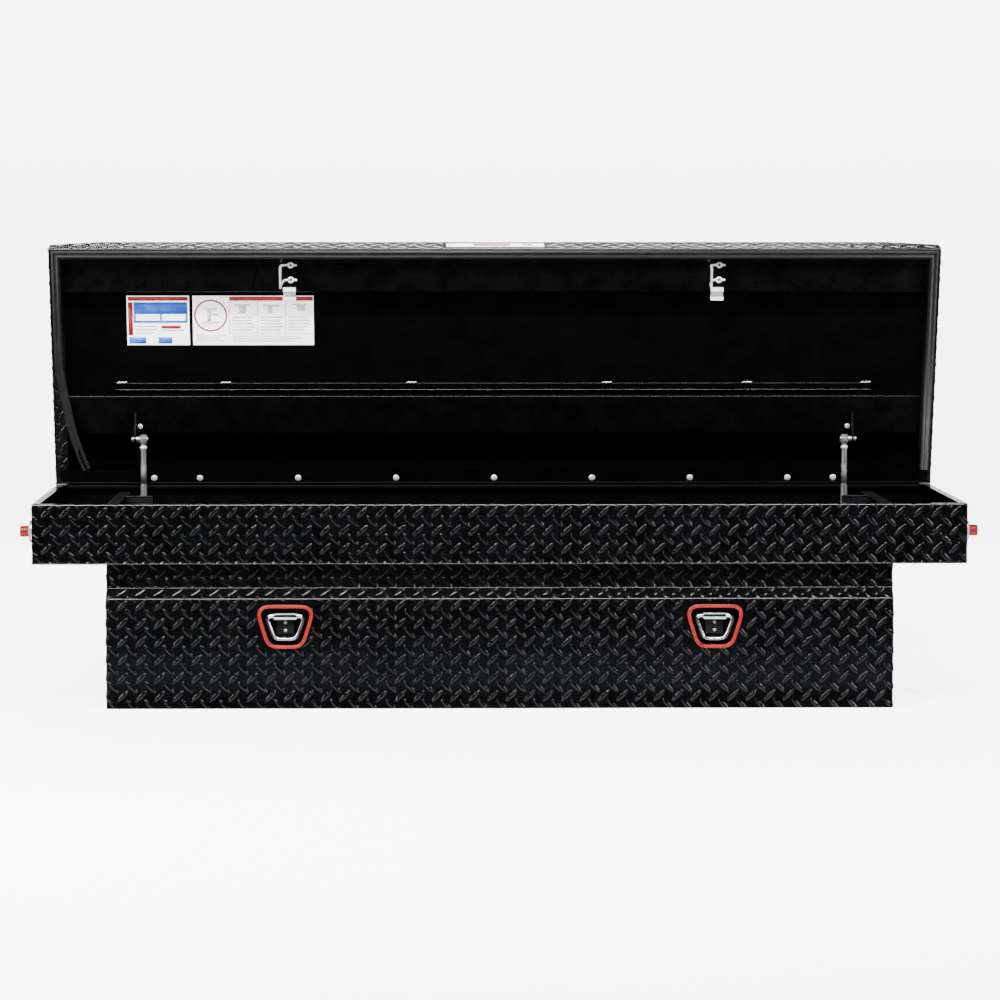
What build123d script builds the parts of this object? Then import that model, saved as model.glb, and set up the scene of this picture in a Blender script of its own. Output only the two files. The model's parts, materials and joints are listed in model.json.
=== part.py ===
from build123d import *
import math
import os

# Crossover truck tool box, lid open. Millimetres. Origin: centre of the tub's underside.
# +X to the right along the box, +Y to the back, +Z up.

# ---- driving dimensions of the body ----
OVERALL_WIDTH = 1816.0
TUB_WIDTH = 1532.0
DEPTH = 492.0
BODY_HEIGHT = 400.0
EAR_HEIGHT = 117.0
SHEET = 2.0
BEND = 1.5
LIP = 14.0
HEM = 8.0
BAND_RECESS = 20.0
BAND_HEIGHT = 48.0
LEDGE_DROP = 20.0

# ---- driving dimensions of the lid (as closed) ----
LID_OVERHANG = 4.0
LID_GAP = 6.0
LID_HEIGHT = 62.0
LID_END_HEIGHT = 38.0
LID_BEVEL = 105.0
LID_FLANGE = 28.0
LID_REAR_FLANGE = 33.0
LID_BEHIND_AXIS = 8.0
LID_OPEN_ANGLE = 77.0

# ---- clamp holes in the ear floors ----
MOUNT_HOLE_RADIUS = 4.5
MOUNT_HOLE_X = 850.0
MOUNT_HOLE_Y = 150.0

# ---- braces over the tub ends ----
BRACE_FLANGE = 22.0
BRACE_LEG = 30.0
BRACE_LENGTH = 314.0
BRACE_POST = 24.0
BRACE_BELOW_RIM = 1.0
GUARD_FROM_FRONT = 212.0
GUARD_REACH = 690.0
GUARD_DROP = 60.0

# ---- hinge ----
PIN_RADIUS = 1.5
KNUCKLE_RADIUS = 2.7
LEAF = 1.2
LID_LEAF_WIDTH = 20.0
HINGE_LENGTH = 1808.0
KNUCKLE_COUNT = 30
KNUCKLE_GAP = 0.6
LEAF_CLEARANCE = 0.3
RUNNING_FIT = 0.05
HINGE_BOLT_PITCH = 204.0
HINGE_BOLTS_A_SIDE = 3
HINGE_END_BOLT = 707.0
HINGE_BOLT_FROM_AXIS = 10.0
BOLT_HEAD_RADIUS = 6.5
BOLT_CROWN = 0.35

# ---- lid channels: distances from the hinge axis ----
CHANNEL_LIFT = 18.0
CHANNEL_HALF = 886.0
FRONT_CHANNEL = (403.0, 469.0)
REAR_CHANNEL = (99.0, 182.0)

# ---- seal: the left end has come off the flange and hangs in a curve ----
GASKET_WIDTH = 18.5
GASKET_THICKNESS = 5.6
GASKET_EDGE = 5.0
GASKET_FRONT_EDGE = 3.0
GASKET_SHORT_OF_REAR = 24.0
PEEL_FROM_AXIS = 247.0
PEEL_POINTS = ((-884.0, 167.0), (-868.0, 92.0), (-846.0, 27.0))
PEEL_END_SLOPE = 0.34
PEEL_STEPS = 8

# ---- stickers and badge ----
LABEL_SHEET = 0.5
LABEL_FROM_AXIS = (385.0, 280.0)
LABEL_SPANS = ((-760.0, -631.0), (-624.0, -374.0))
BADGE_HALF = 100.0
BADGE_ABOVE_RIM = (14.0, 46.0)
BADGE_SHEET = 1.5

# ---- rod along the lid ----
RAIL_SPAN = (-786.0, 783.0)
RAIL_FROM_AXIS = 191.0
RAIL_DROP = 24.0
ROD_FROM_AXIS = 202.0
ROD_BELOW_CEILING = 20.0
LID_ROD_RADIUS = 2.5
ROD_CLIP_PLACES = (-772.0, -557.0, -172.0, 234.0, 525.0, 772.0)
ROD_CLIP_WIDTH = 20.0

# ---- gas strut ----
STRUT_X = 727.0
STUD_REACH = 96.0
STUD_BELOW_RIM_ANGLE = 2.5
STRUT_OPEN_SPREAD = 149.0
STUD_RADIUS = 4.0
STUD_COLLAR = 8.0
STUD_CAP = 2.0
STUD_CAP_RADIUS = 6.5
STUD_NUT_RADIUS = 5.5
STUD_NUT = 6.0
STUD_PLAY = 0.5
EYE_RADIUS = 9.5
EYE_WIDTH = 13.0
NECK_RADIUS = 4.8
TUBE_RADIUS = 6.0
TUBE_START = 20.0
TUBE_END = 101.0
TUBE_BORE = 4.0
TUBE_END_WALL = 5.0
ROD_RADIUS = 3.5
ROD_LENGTH = 86.0
SHROUD_RADIUS = 7.1
SHROUD_BORE = 6.35
SHROUD_FOOT = 8.0
SHROUD_FLOOR = 3.0
SHROUD_LENGTH = 90.0
BRACKET_SHEET = 3.0
BRACKET_FROM_EYE = 8.5
BRACKET_FOOT_LENGTH = 50.0
BRACKET_FOOT_WIDTH = 18.0
BRACKET_SHOULDER = 8.0
BRACKET_MARGIN = 10.0
BRACKET_BOLT_INBOARD = 7.0
BRACKET_BOLT_FROM_EDGE = 18.0
STRUT_FOOT_AHEAD = 20.0
STRUT_FOOT_BEHIND = 16.0
STRUT_FOOT_WIDTH = 60.0

# ---- strikers under the lid ----
LATCH_X = 439.0
LATCH_FROM_AXIS = 440.0
STRIKER_Z = 370.0
STRIKER_WIRE = 3.5
STRIKER_SHIFT = 17.0
STRIKER_HALF = 20.0
STRIKER_SCREW = 10.0
STRIKER_TAB = 6.0
STRIKER_PLATE = 3.0
SCREW_RADIUS = 5.5
SCREW_HEAD = 3.0
CLIP_BLOCK_HALF = 13.0
CLIP_BLOCK_AHEAD = 10.5
CLIP_BLOCK_BEHIND = 16.0
CLIP_BLOCK_HEIGHT = 7.0
CLIP_BLOCK_FROM_AXIS = 403.0

# ---- push-button locks ----
BUTTON_Z = 343.0
BUTTON_RADIUS = 11.0
BUTTON_REACH = 28.0
BUTTON_DEPTH = 13.0
BUTTON_EDGE = 1.5
BUTTON_SLOT = (2.0, 8.0)
BEZEL_RADIUS = 22.5
BEZEL_REACH = 10.0
BEZEL_EDGE = 3.0
BARREL_RADIUS = 14.0
BARREL_DEPTH = 16.0
NUT_THICKNESS = 6.0
NUT_FLAT = 34.0
LINK_RADIUS = 3.0
GUIDE_X = 660.0
GUIDE_SHEET = 4.0
GUIDE_FOOT = 22.0
GUIDE_HALF = 10.0

# ---- latches ----
HOOK_PIVOT_Z = 318.0
HOOK_PIVOT_INBOARD = 10.0
HOOK_SHEET = 6.0
HOOK_PIN_RADIUS = 4.0
HOOK_CLEARANCE = 2.5
HOOK_OUTLINE = ((-20, 310), (-2, 306), (2, 314), (2, 352), (-6, 360), (-6, 375), (7, 375), (7, 380),
                (-8, 392), (-18, 388), (-20, 360))
LATCH_FLOOR_Z = 300.0
LATCH_OUTBOARD = 12.0
LATCH_INBOARD = 34.0
CHEEK_TOP = 336.0
CHEEK_HALF_GAP = 12.0
PIN_OVERRUN = 6.0
LATCH_TAB = 20.0
LATCH_BOLT_RISE = 8.0
LATCH_BOLTS = (-26.0, 4.0)
SPRING_RADIUS = 6.5
SPRING_WIRE = 0.8
SPRING_TURNS = 3
SPRING_PITCH = 1.7
SPRING_LEG = 12.0
SPRING_GAP = 2.0

# ---- tie-down rings ----
RING_X = 418.0
RING_BEZEL_TOP = 204.0
RING_BEZEL_HEIGHT = 86.0
RING_BEZEL_WIDTH = 122.0
RING_BEZEL_FOOT = 72.0
RING_BEZEL_BAND = 7.0
RING_BEZEL_PROUD = 3.0
RING_CORNER = 20.0
PAN_DEPTH = 19.0
PAN_SHEET = 1.5
RING_WIRE = 4.0
RING_TOP_WIDTH = 76.0
RING_FOOT_WIDTH = 42.0
RING_DROP = 46.0
RING_PIVOT_Z = 181.0
RING_PIVOT_IN = 9.0
CLIP_WIDTH = 44.0
CLIP_WALL = 1.8
CLIP_PLATE_DROP = 36.0
CLIP_PLATE_SHARE = 0.75
CLIP_SCREW_DROPS = (13.0, 29.0)
CLIP_SCREW_RADIUS = 3.2
CLIP_SCREW_HEAD = 2.0

# ---- worked-out places ----
FRONT = -DEPTH / 2
REAR = DEPTH / 2
HALF = OVERALL_WIDTH / 2
TUB_HALF = TUB_WIDTH / 2
OUTER_BEND = BEND + SHEET
EAR_Z = BODY_HEIGHT - EAR_HEIGHT
EAR_TOP_Z = EAR_Z + SHEET
BAND_Z = EAR_Z - BAND_HEIGHT
LEDGE_Z = BAND_Z - LEDGE_DROP
BRACE_TOP = BODY_HEIGHT - BRACE_BELOW_RIM
BRACE_END_Y = FRONT + BRACE_LENGTH
GUARD_Y = FRONT + GUARD_FROM_FRONT
AXIS_Y = REAR + LID_GAP / 2
AXIS_Z = BODY_HEIGHT + LID_GAP / 2
RIM_Z = BODY_HEIGHT + LID_GAP
LID_HALF = HALF + LID_OVERHANG
LID_FRONT = FRONT - LID_OVERHANG
LID_REAR = AXIS_Y + LID_BEHIND_AXIS
LID_TOP = RIM_Z + LID_HEIGHT
LID_CEILING = LID_TOP - SHEET
CHANNEL_Z = RIM_Z + CHANNEL_LIFT
GASKET_REAR = REAR - GASKET_SHORT_OF_REAR
PEEL_START_Y = AXIS_Y - PEEL_FROM_AXIS
RAIL_Y = AXIS_Y - RAIL_FROM_AXIS
ROD_Y = AXIS_Y - ROD_FROM_AXIS
ROD_Z = LID_CEILING - ROD_BELOW_CEILING
BRACKET_X = STRUT_X + EYE_WIDTH / 2 + BRACKET_FROM_EYE
BRACKET_EDGE_Y = AXIS_Y - REAR_CHANNEL[0]
LATCH_Y = AXIS_Y - LATCH_FROM_AXIS
CLIP_BLOCK_Y = AXIS_Y - CLIP_BLOCK_FROM_AXIS
PIVOT_X = LATCH_X - HOOK_PIVOT_INBOARD
CHEEK_FRONT = LATCH_Y - CHEEK_HALF_GAP
CHEEK_REAR = LATCH_Y + CHEEK_HALF_GAP
RING_Y = FRONT + RING_PIVOT_IN
PAN_FLOOR = FRONT + PAN_DEPTH - PAN_SHEET
HINGE_AXIS = Axis((0, AXIS_Y, AXIS_Z), (1, 0, 0))
SIDES = {"left": -1, "right": 1}


def around_axis(angle, reach):
    """(y, z) of a point at the given angle from straight ahead, measured upwards about the hinge."""
    turn = math.radians(angle)
    return (AXIS_Y - reach * math.cos(turn), AXIS_Z + reach * math.sin(turn))


UPPER_ANGLE = LID_OPEN_ANGLE - STUD_BELOW_RIM_ANGLE
UPPER_STUD = around_axis(UPPER_ANGLE, STUD_REACH)
UPPER_STUD_CLOSED = around_axis(-STUD_BELOW_RIM_ANGLE, STUD_REACH)
LOWER_STUD = around_axis(UPPER_ANGLE - STRUT_OPEN_SPREAD, STUD_REACH)
STRUT_LENGTH = math.dist(UPPER_STUD, LOWER_STUD)

NODES = {}


# ---- shape helpers ----
def block(low, high):
    """A box between two corners, given in any order."""
    lows = [min(a, b) for a, b in zip(low, high)]
    sizes = [abs(b - a) for a, b in zip(low, high)]
    return Pos(*lows) * Box(*sizes, align=(Align.MIN, Align.MIN, Align.MIN))


def prism_x(points, x_low, x_high):
    """A (y, z) outline pulled along X."""
    outline = Plane.YZ.offset(x_low) * Polygon(*points, align=None)
    return extrude(outline, amount=x_high - x_low)


def prism_y(points, y_low, y_high):
    """An (x, z) outline pulled along Y."""
    outline = Plane.XZ.offset(-y_high) * Polygon(*points, align=None)
    return extrude(outline, amount=y_high - y_low)


def prism_z(points, z_low, z_high):
    """An (x, y) outline pulled along Z."""
    outline = Plane.XY.offset(z_low) * Polygon(*points, align=None)
    return extrude(outline, amount=z_high - z_low)


def bar(start, end, radius):
    """A round bar between two points."""
    direction = Vector(end) - Vector(start)
    return extrude(Plane(origin=start, z_dir=direction) * Circle(radius), amount=direction.length)


def unit_normal(start, end):
    """Left-hand unit normal of a line in its plane."""
    way = (Vector(*end) - Vector(*start)).normalized()
    return Vector(-way.Y, way.X)


def folded(points):
    """Section of a folded sheet: the face line, its offset to the left, and rounded bends."""
    steps = [unit_normal(*pair) for pair in zip(points, points[1:])]
    befores = [steps[0]] + steps
    afters = steps + [steps[-1]]
    back = []
    for point, before, after in zip(points, befores, afters):
        middle = (before + after).normalized()
        reach = SHEET / middle.dot(before)
        back.append((point[0] + middle.X * reach, point[1] + middle.Y * reach))
    section = Polygon(*points, *reversed(back), align=None)
    for index in range(1, len(points) - 1):
        turns_left = befores[index].cross(afters[index]).Z > 0
        face_radius, back_radius = (OUTER_BEND, BEND) if turns_left else (BEND, OUTER_BEND)
        section = rounded(section, points[index], face_radius)
        section = rounded(section, back[index], back_radius)
    return section


def rounded(section, corner, radius):
    """The section with the corner nearest to a point rounded."""
    nearest = section.vertices().sort_by_distance((*corner, 0))[0]
    return fillet(nearest, radius)


def sheet_x(points, x_low, x_high):
    """A folded sheet with its bends along X."""
    return extrude(Plane.YZ.offset(x_low) * folded(points), amount=x_high - x_low)


def trapezoid(half_top, half_foot, top, foot, corner):
    """A face with rounded corners, wider at the top, in the X-Z plane about X = 0."""
    outline = Polygon((-half_foot, foot), (half_foot, foot), (half_top, top), (-half_top, top), align=None)
    return fillet(outline.vertices(), corner)


def on_front(face, y, amount):
    """The face stood at depth y and pulled forwards by amount."""
    return extrude(Plane.XZ.offset(-y) * face, amount=amount)


def opened(shape):
    """A lid piece, modelled closed, turned to the open rest position."""
    return shape.rotate(HINGE_AXIS, -LID_OPEN_ANGLE)


def add(name, shape):
    NODES[name] = shape


# ---- body sheets ----
def front_face_line():
    """Outer face of the tub's front, top to bottom: recessed band, ledge, lower face."""
    band = FRONT + BAND_RECESS
    return [(band, EAR_TOP_Z), (band, BAND_Z), (FRONT, LEDGE_Z), (FRONT, 0)]


def ring_cutout(side):
    """Hole in the tub's front for one tie-down pan."""
    inset = RING_BEZEL_BAND / 2
    return Pos(side * RING_X, 0, 0) * on_front(pan_face(inset), FRONT + 2 * SHEET, 4 * SHEET)


def make_tub():
    """Folded front, flat rear, floor and two ends of the lower tub."""
    inner = TUB_HALF - SHEET
    front = sheet_x(front_face_line(), -inner, inner)
    for side in SIDES.values():
        front -= ring_cutout(side)
    add("tub_front_panel", front)
    add("tub_rear_panel", block((-inner, REAR - SHEET, 0), (inner, REAR, EAR_Z)))
    add("tub_floor", block((-inner, FRONT + SHEET, 0), (inner, REAR - SHEET, SHEET)))
    end_outline = front_face_line() + [(REAR, 0), (REAR, EAR_Z), (REAR - SHEET, EAR_Z),
                                       (REAR - SHEET, EAR_TOP_Z)]
    for name, side in SIDES.items():
        low, high = sorted((side * inner, side * TUB_HALF))
        add(f"tub_end_{name}", prism_x(end_outline, low, high))


def make_upper_frame():
    """Front fascia, rear panel, ear ends and ear floors, each folded to a lip at the rim."""
    inner = HALF - SHEET
    lip_edge = FRONT + LIP
    fascia = [(lip_edge, BODY_HEIGHT - HEM), (lip_edge, BODY_HEIGHT), (FRONT, BODY_HEIGHT),
              (FRONT, EAR_Z), (FRONT + BAND_RECESS, EAR_Z)]
    add("front_fascia", sheet_x(fascia, -inner, inner))
    rear = [(-y, z) for y, z in reversed(fascia[:4])]
    add("rear_upper_panel", sheet_x(rear, -inner, inner))
    for name, side in SIDES.items():
        add(f"ear_end_{name}", make_ear_end(side))
        add(f"ear_floor_{name}", make_ear_floor(side))


def make_ear_end(side):
    """Ear end sheet with its top lip, and the hole for the lock barrel."""
    wall = block((side * (HALF - SHEET), FRONT, EAR_Z), (side * HALF, REAR, BODY_HEIGHT))
    wall = fillet(wall.edges().filter_by(Axis.X).group_by(Axis.Z)[-1], OUTER_BEND)
    lip_inner = HALF - LIP
    lip = block((side * lip_inner, FRONT + LIP, BODY_HEIGHT - SHEET),
                (side * (HALF - SHEET), REAR - LIP, BODY_HEIGHT))
    hem = block((side * lip_inner, FRONT + LIP, BODY_HEIGHT - HEM),
                (side * (lip_inner + SHEET), REAR - LIP, BODY_HEIGHT - SHEET))
    hole = bar((side * (HALF - 3 * SHEET), LATCH_Y, BUTTON_Z), (side * (HALF + SHEET), LATCH_Y, BUTTON_Z),
               BARREL_RADIUS)
    return wall + lip + hem - hole


def make_ear_floor(side):
    """Ear floor that rests on the truck's bed rail, with two clamp-bolt holes."""
    floor = block((side * TUB_HALF, FRONT + BAND_RECESS, EAR_Z),
                  (side * (HALF - SHEET), REAR - SHEET, EAR_TOP_Z))
    for y in (-MOUNT_HOLE_Y, MOUNT_HOLE_Y):
        x = side * MOUNT_HOLE_X
        floor -= bar((x, y, EAR_Z - SHEET), (x, y, EAR_Z + 2 * SHEET), MOUNT_HOLE_RADIUS)
    return floor


def make_braces():
    """Front-to-back angle over each tub end, with a post and a cross plate that guards the strut."""
    web = TUB_HALF - SHEET
    for name, side in SIDES.items():
        start = FRONT + LIP + SHEET
        flange = block((side * web, start, BRACE_TOP - SHEET),
                       (side * (web - BRACE_FLANGE), BRACE_END_Y, BRACE_TOP))
        leg = block((side * web, start, BRACE_TOP - BRACE_LEG),
                    (side * (web - SHEET), BRACE_END_Y, BRACE_TOP - SHEET))
        post = block((side * web, BRACE_END_Y - BRACE_POST, EAR_TOP_Z),
                     (side * (web - SHEET), BRACE_END_Y, BRACE_TOP - BRACE_LEG))
        foot = block((side * web, BRACE_END_Y - BRACE_POST, EAR_TOP_Z),
                     (side * (web + BRACE_FLANGE), BRACE_END_Y, EAR_TOP_Z + SHEET))
        guard = block((side * (web - SHEET), GUARD_Y, BRACE_TOP - GUARD_DROP),
                      (side * GUARD_REACH, GUARD_Y + SHEET, BRACE_TOP - SHEET))
        lip = block((side * (web - BRACE_FLANGE), GUARD_Y, BRACE_TOP - SHEET),
                    (side * GUARD_REACH, GUARD_Y + SHEET, BRACE_TOP))
        add(f"end_brace_{name}", flange + leg + post + foot + guard + lip)


# ---- hinge ----
def knuckle_spans(parity):
    """X spans of every second knuckle."""
    pitch = HINGE_LENGTH / KNUCKLE_COUNT
    starts = [index * pitch - HINGE_LENGTH / 2 for index in range(parity, KNUCKLE_COUNT, 2)]
    return [(x + KNUCKLE_GAP / 2, x + pitch - KNUCKLE_GAP / 2) for x in starts]


def make_leaf(parity, width, z_low):
    """One piano-hinge leaf: a strip with rolled knuckles round the pin."""
    half = HINGE_LENGTH / 2
    strip_end = AXIS_Y - math.sqrt((KNUCKLE_RADIUS + LEAF_CLEARANCE) ** 2 - (LID_GAP / 2 - LEAF) ** 2)
    leaf = block((-half, strip_end - width, z_low), (half, strip_end, z_low + LEAF))
    for low, high in knuckle_spans(parity):
        leaf += block((low, strip_end, z_low), (high, AXIS_Y, z_low + LEAF))
        leaf += bar((low, AXIS_Y, AXIS_Z), (high, AXIS_Y, AXIS_Z), KNUCKLE_RADIUS)
    return leaf - bar((-half, AXIS_Y, AXIS_Z), (half, AXIS_Y, AXIS_Z), PIN_RADIUS + RUNNING_FIT)


def dome(x, y, z, radius, height):
    """A low domed bolt head that points down from z."""
    base = bar((x, y, z), (x, y, z - height), radius)
    return chamfer(base.edges().sort_by(Axis.Z)[0], height * BOLT_CROWN)


def make_hinge():
    """Two leaves, the pin, and the fasteners of each leaf."""
    half = HINGE_LENGTH / 2
    add("hinge_body_leaf", make_leaf(0, LIP - SHEET / 2, BODY_HEIGHT))
    add("hinge_lid_leaf", opened(make_leaf(1, LID_LEAF_WIDTH, RIM_Z - LEAF)))
    add("hinge_pin", bar((-half, AXIS_Y, AXIS_Z), (half, AXIS_Y, AXIS_Z), PIN_RADIUS))
    steps = range(-HINGE_BOLTS_A_SIDE, HINGE_BOLTS_A_SIDE + 1)
    places = [step * HINGE_BOLT_PITCH for step in steps] + [-HINGE_END_BOLT, HINGE_END_BOLT]
    y = AXIS_Y - HINGE_BOLT_FROM_AXIS
    head = LID_GAP - 2 * LEAF - STUD_PLAY
    add("hinge_bolts", opened(Compound(children=[dome(x, y, RIM_Z - LEAF, BOLT_HEAD_RADIUS, head)
                                                 for x in sorted(places)])))


# ---- lid ----
def lid_outline(inset):
    """Lid section across the box: flat top, bevelled ends, upright skirts."""
    half = LID_HALF - inset
    flat = LID_HALF - LID_BEVEL - inset * 0.4
    top = LID_TOP - inset
    end = RIM_Z + LID_END_HEIGHT - inset * 0.8
    low = RIM_Z + inset
    return [(-half, low), (half, low), (half, end), (flat, top), (-flat, top), (-half, end)]


def lid_hollow():
    """Space inside the lid's sheet."""
    return prism_y(lid_outline(SHEET), LID_FRONT + SHEET, LID_REAR - SHEET)


def make_lid_skin():
    """Folded tread-plate shell with return flanges round the rim."""
    outside = prism_y(lid_outline(0), LID_FRONT, LID_REAR)
    outside = fillet(outside.edges().filter_by(Axis.Y), OUTER_BEND)
    outside = fillet(outside.faces().sort_by(Axis.Y)[0].edges(), SHEET)
    outside = fillet(outside.faces().sort_by(Axis.Y)[-1].edges(), SHEET)
    shell = outside - lid_hollow()
    window = block((-(LID_HALF - LID_FLANGE), LID_FRONT + LID_FLANGE, RIM_Z - SHEET),
                   (LID_HALF - LID_FLANGE, LID_REAR - LID_REAR_FLANGE, RIM_Z + 2 * SHEET))
    return shell - window


def make_channel(reach):
    """Stiffening channel welded under the lid top, open side up."""
    y_high, y_low = (AXIS_Y - distance for distance in reach)
    section = [(y_low, LID_TOP), (y_low, CHANNEL_Z), (y_high, CHANNEL_Z), (y_high, LID_TOP)]
    return sheet_x(section, -CHANNEL_HALF, CHANNEL_HALF) & lid_hollow()


def make_gasket():
    """Rubber seal on the flange: front and right run full length, the left end hangs loose."""
    low = RIM_Z - GASKET_THICKNESS
    side_x = LID_HALF - GASKET_EDGE
    front_y = LID_FRONT + GASKET_FRONT_EDGE
    inner_y = front_y + GASKET_WIDTH
    front = block((-side_x, front_y, low), (side_x, inner_y, RIM_Z))
    right = block((side_x - GASKET_WIDTH, inner_y, low), (side_x, GASKET_REAR, RIM_Z))
    left = block((-side_x, inner_y, low), (-side_x + GASKET_WIDTH, PEEL_START_Y, RIM_Z))
    curve = [(x, AXIS_Y - distance) for x, distance in PEEL_POINTS]
    line = Spline((-side_x + GASKET_WIDTH / 2, PEEL_START_Y), *curve, tangents=[(0, 1), (PEEL_END_SLOPE, 1)])
    offsets = (-GASKET_WIDTH / 2, GASKET_WIDTH / 2)
    steps = [step / PEEL_STEPS for step in range(PEEL_STEPS + 1)]
    edges = [[line @ t + (line % t).rotate(Axis.Z, 90) * side for t in steps] for side in offsets]
    outline = [(p.X, p.Y) for p in edges[0]] + [(p.X, p.Y) for p in reversed(edges[1])]
    return front + right + left + prism_z(outline, low, RIM_Z)


def make_labels():
    """Two stickers under the lid top and a plain badge on the front skirt."""
    front, back = (AXIS_Y - distance for distance in LABEL_FROM_AXIS)
    stickers = [block((low, front, LID_CEILING - LABEL_SHEET), (high, back, LID_CEILING))
                for low, high in LABEL_SPANS]
    add("lid_labels", opened(Compound(children=stickers)))
    low, high = (RIM_Z + rise for rise in BADGE_ABOVE_RIM)
    badge = block((-BADGE_HALF, LID_FRONT - BADGE_SHEET, low), (BADGE_HALF, LID_FRONT, high))
    add("lid_badge", opened(badge))


def make_lid_rod():
    """Thin rod along the lid, held by clips on a folded rail."""
    low, high = RAIL_SPAN
    rail = block((low, RAIL_Y, LID_CEILING - RAIL_DROP), (high, RAIL_Y + SHEET, LID_CEILING))
    add("lid_rod_rail", opened(rail))
    rod = bar((low, ROD_Y, ROD_Z), (high, ROD_Y, ROD_Z), LID_ROD_RADIUS)
    add("lid_rod", opened(rod))
    clips = [make_rod_clip(x, ROD_CLIP_WIDTH) for x in ROD_CLIP_PLACES]
    add("lid_rod_clips", opened(Compound(children=clips)))


def make_rod_clip(x, width):
    """A loop round the rod on an arm that reaches the rail."""
    half = width / 2
    wall = LID_ROD_RADIUS + SHEET
    loop = bar((x - half, ROD_Y, ROD_Z), (x + half, ROD_Y, ROD_Z), wall)
    arm = block((x - half, ROD_Y, ROD_Z - SHEET), (x + half, RAIL_Y, ROD_Z))
    bore = bar((x - width, ROD_Y, ROD_Z), (x + width, ROD_Y, ROD_Z), LID_ROD_RADIUS)
    return loop + arm - bore


def make_striker(x_loop):
    """A bent-wire striker: a base plate, two slanting legs and the bar the hook catches."""
    x_base = x_loop + STRIKER_SHIFT
    front, back = LATCH_Y - STRIKER_HALF, LATCH_Y + STRIKER_HALF
    plate_z = CHANNEL_Z - STRIKER_PLATE
    plate = block((x_base - STRIKER_TAB, front - STRIKER_TAB, plate_z),
                  (x_base + STRIKER_TAB, back + STRIKER_TAB, CHANNEL_Z))
    wire = bar((x_loop, front, STRIKER_Z), (x_loop, back, STRIKER_Z), STRIKER_WIRE)
    for y in (front, back):
        wire += bar((x_loop, y, STRIKER_Z), (x_base, y, plate_z + 1), STRIKER_WIRE)
        wire += Pos(x_loop, y, STRIKER_Z) * Sphere(STRIKER_WIRE)
    return plate + wire


def make_striker_clip(x_base):
    """Moulded clip that wraps the rear bend of the front channel."""
    x_low, x_high = x_base - CLIP_BLOCK_HALF, x_base + CLIP_BLOCK_HALF
    low = CHANNEL_Z - CLIP_BLOCK_HEIGHT
    clip = block((x_low, CLIP_BLOCK_Y - CLIP_BLOCK_AHEAD, low), (x_high, CLIP_BLOCK_Y, CHANNEL_Z))
    clip += block((x_low, CLIP_BLOCK_Y, low),
                  (x_high, CLIP_BLOCK_Y + CLIP_BLOCK_BEHIND, CHANNEL_Z + CLIP_BLOCK_HEIGHT))
    return fillet(clip.edges().filter_by(Axis.X).group_by(Axis.Z)[0], SHEET)


def make_strikers():
    """Left and right strikers, their screws, and the spring clip behind each."""
    screws = []
    clips = []
    for name, side in SIDES.items():
        x_loop = side * LATCH_X
        add(f"striker_{name}", opened(make_striker(x_loop)))
        x_base = x_loop + STRIKER_SHIFT
        for y in (LATCH_Y - STRIKER_SCREW, LATCH_Y + STRIKER_SCREW):
            screws.append(dome(x_base, y, CHANNEL_Z - STRIKER_PLATE, SCREW_RADIUS, SCREW_HEAD))
        clips.append(make_striker_clip(x_base))
    add("striker_screws", opened(Compound(children=screws)))
    add("striker_clips", opened(Compound(children=clips)))


# ---- gas struts ----
def stud(side, place):
    """Pivot stud from a bracket face through the strut's eye, with a cap on its inner end."""
    y, z = place
    inner = STRUT_X - EYE_WIDTH / 2 - STUD_PLAY
    shank = bar((side * (BRACKET_X + BRACKET_SHEET), y, z), (side * inner, y, z), STUD_RADIUS)
    collar = bar((side * BRACKET_X, y, z), (side * (BRACKET_X - STUD_COLLAR), y, z), STUD_CAP_RADIUS)
    cap = bar((side * inner, y, z), (side * (inner - STUD_CAP), y, z), STUD_CAP_RADIUS)
    back = BRACKET_X + BRACKET_SHEET
    nut = bar((side * back, y, z), (side * (back + STUD_NUT), y, z), STUD_NUT_RADIUS)
    return shank + collar + cap + nut


def make_lid_bracket(side):
    """Upright plate that hangs from the rear channel to the upper stud."""
    y, z = UPPER_STUD_CLOSED
    y_front = BRACKET_EDGE_Y - BRACKET_FOOT_LENGTH
    outline = [(y_front, CHANNEL_Z), (y_front, CHANNEL_Z - BRACKET_SHOULDER),
               (y - BRACKET_MARGIN, z - BRACKET_MARGIN), (y + BRACKET_MARGIN, z - BRACKET_MARGIN),
               (y + BRACKET_MARGIN, z + BRACKET_SHOULDER), (BRACKET_EDGE_Y, CHANNEL_Z)]
    plate = bracket_plate(side, outline, UPPER_STUD_CLOSED)
    foot = block((side * BRACKET_X, y_front, CHANNEL_Z - BRACKET_SHEET),
                 (side * (BRACKET_X - BRACKET_FOOT_WIDTH), BRACKET_EDGE_Y - BRACKET_SHOULDER, CHANNEL_Z))
    return plate + foot


def bracket_plate(side, outline, place):
    """The upright plate of a strut bracket, with the hole for its stud."""
    low, high = sorted((side * BRACKET_X, side * (BRACKET_X + BRACKET_SHEET)))
    hole = bar((low - SHEET, *place), (high + SHEET, *place), STUD_RADIUS)
    return prism_x(outline, low, high) - hole


def make_strut_foot(side):
    """Angle on the ear floor that carries the lower stud."""
    y, z = LOWER_STUD
    y_front, y_rear = y - STRUT_FOOT_AHEAD, y + STRUT_FOOT_BEHIND
    outline = [(y_front, EAR_TOP_Z), (y_rear, EAR_TOP_Z), (y + BRACKET_MARGIN, z + BRACKET_MARGIN),
               (y - BRACKET_MARGIN, z + BRACKET_MARGIN)]
    plate = bracket_plate(side, outline, LOWER_STUD)
    foot = block((side * (BRACKET_X + BRACKET_SHEET), y_front, EAR_TOP_Z),
                 (side * (BRACKET_X + STRUT_FOOT_WIDTH), y_rear, EAR_TOP_Z + BRACKET_SHEET))
    return plate + foot


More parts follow.
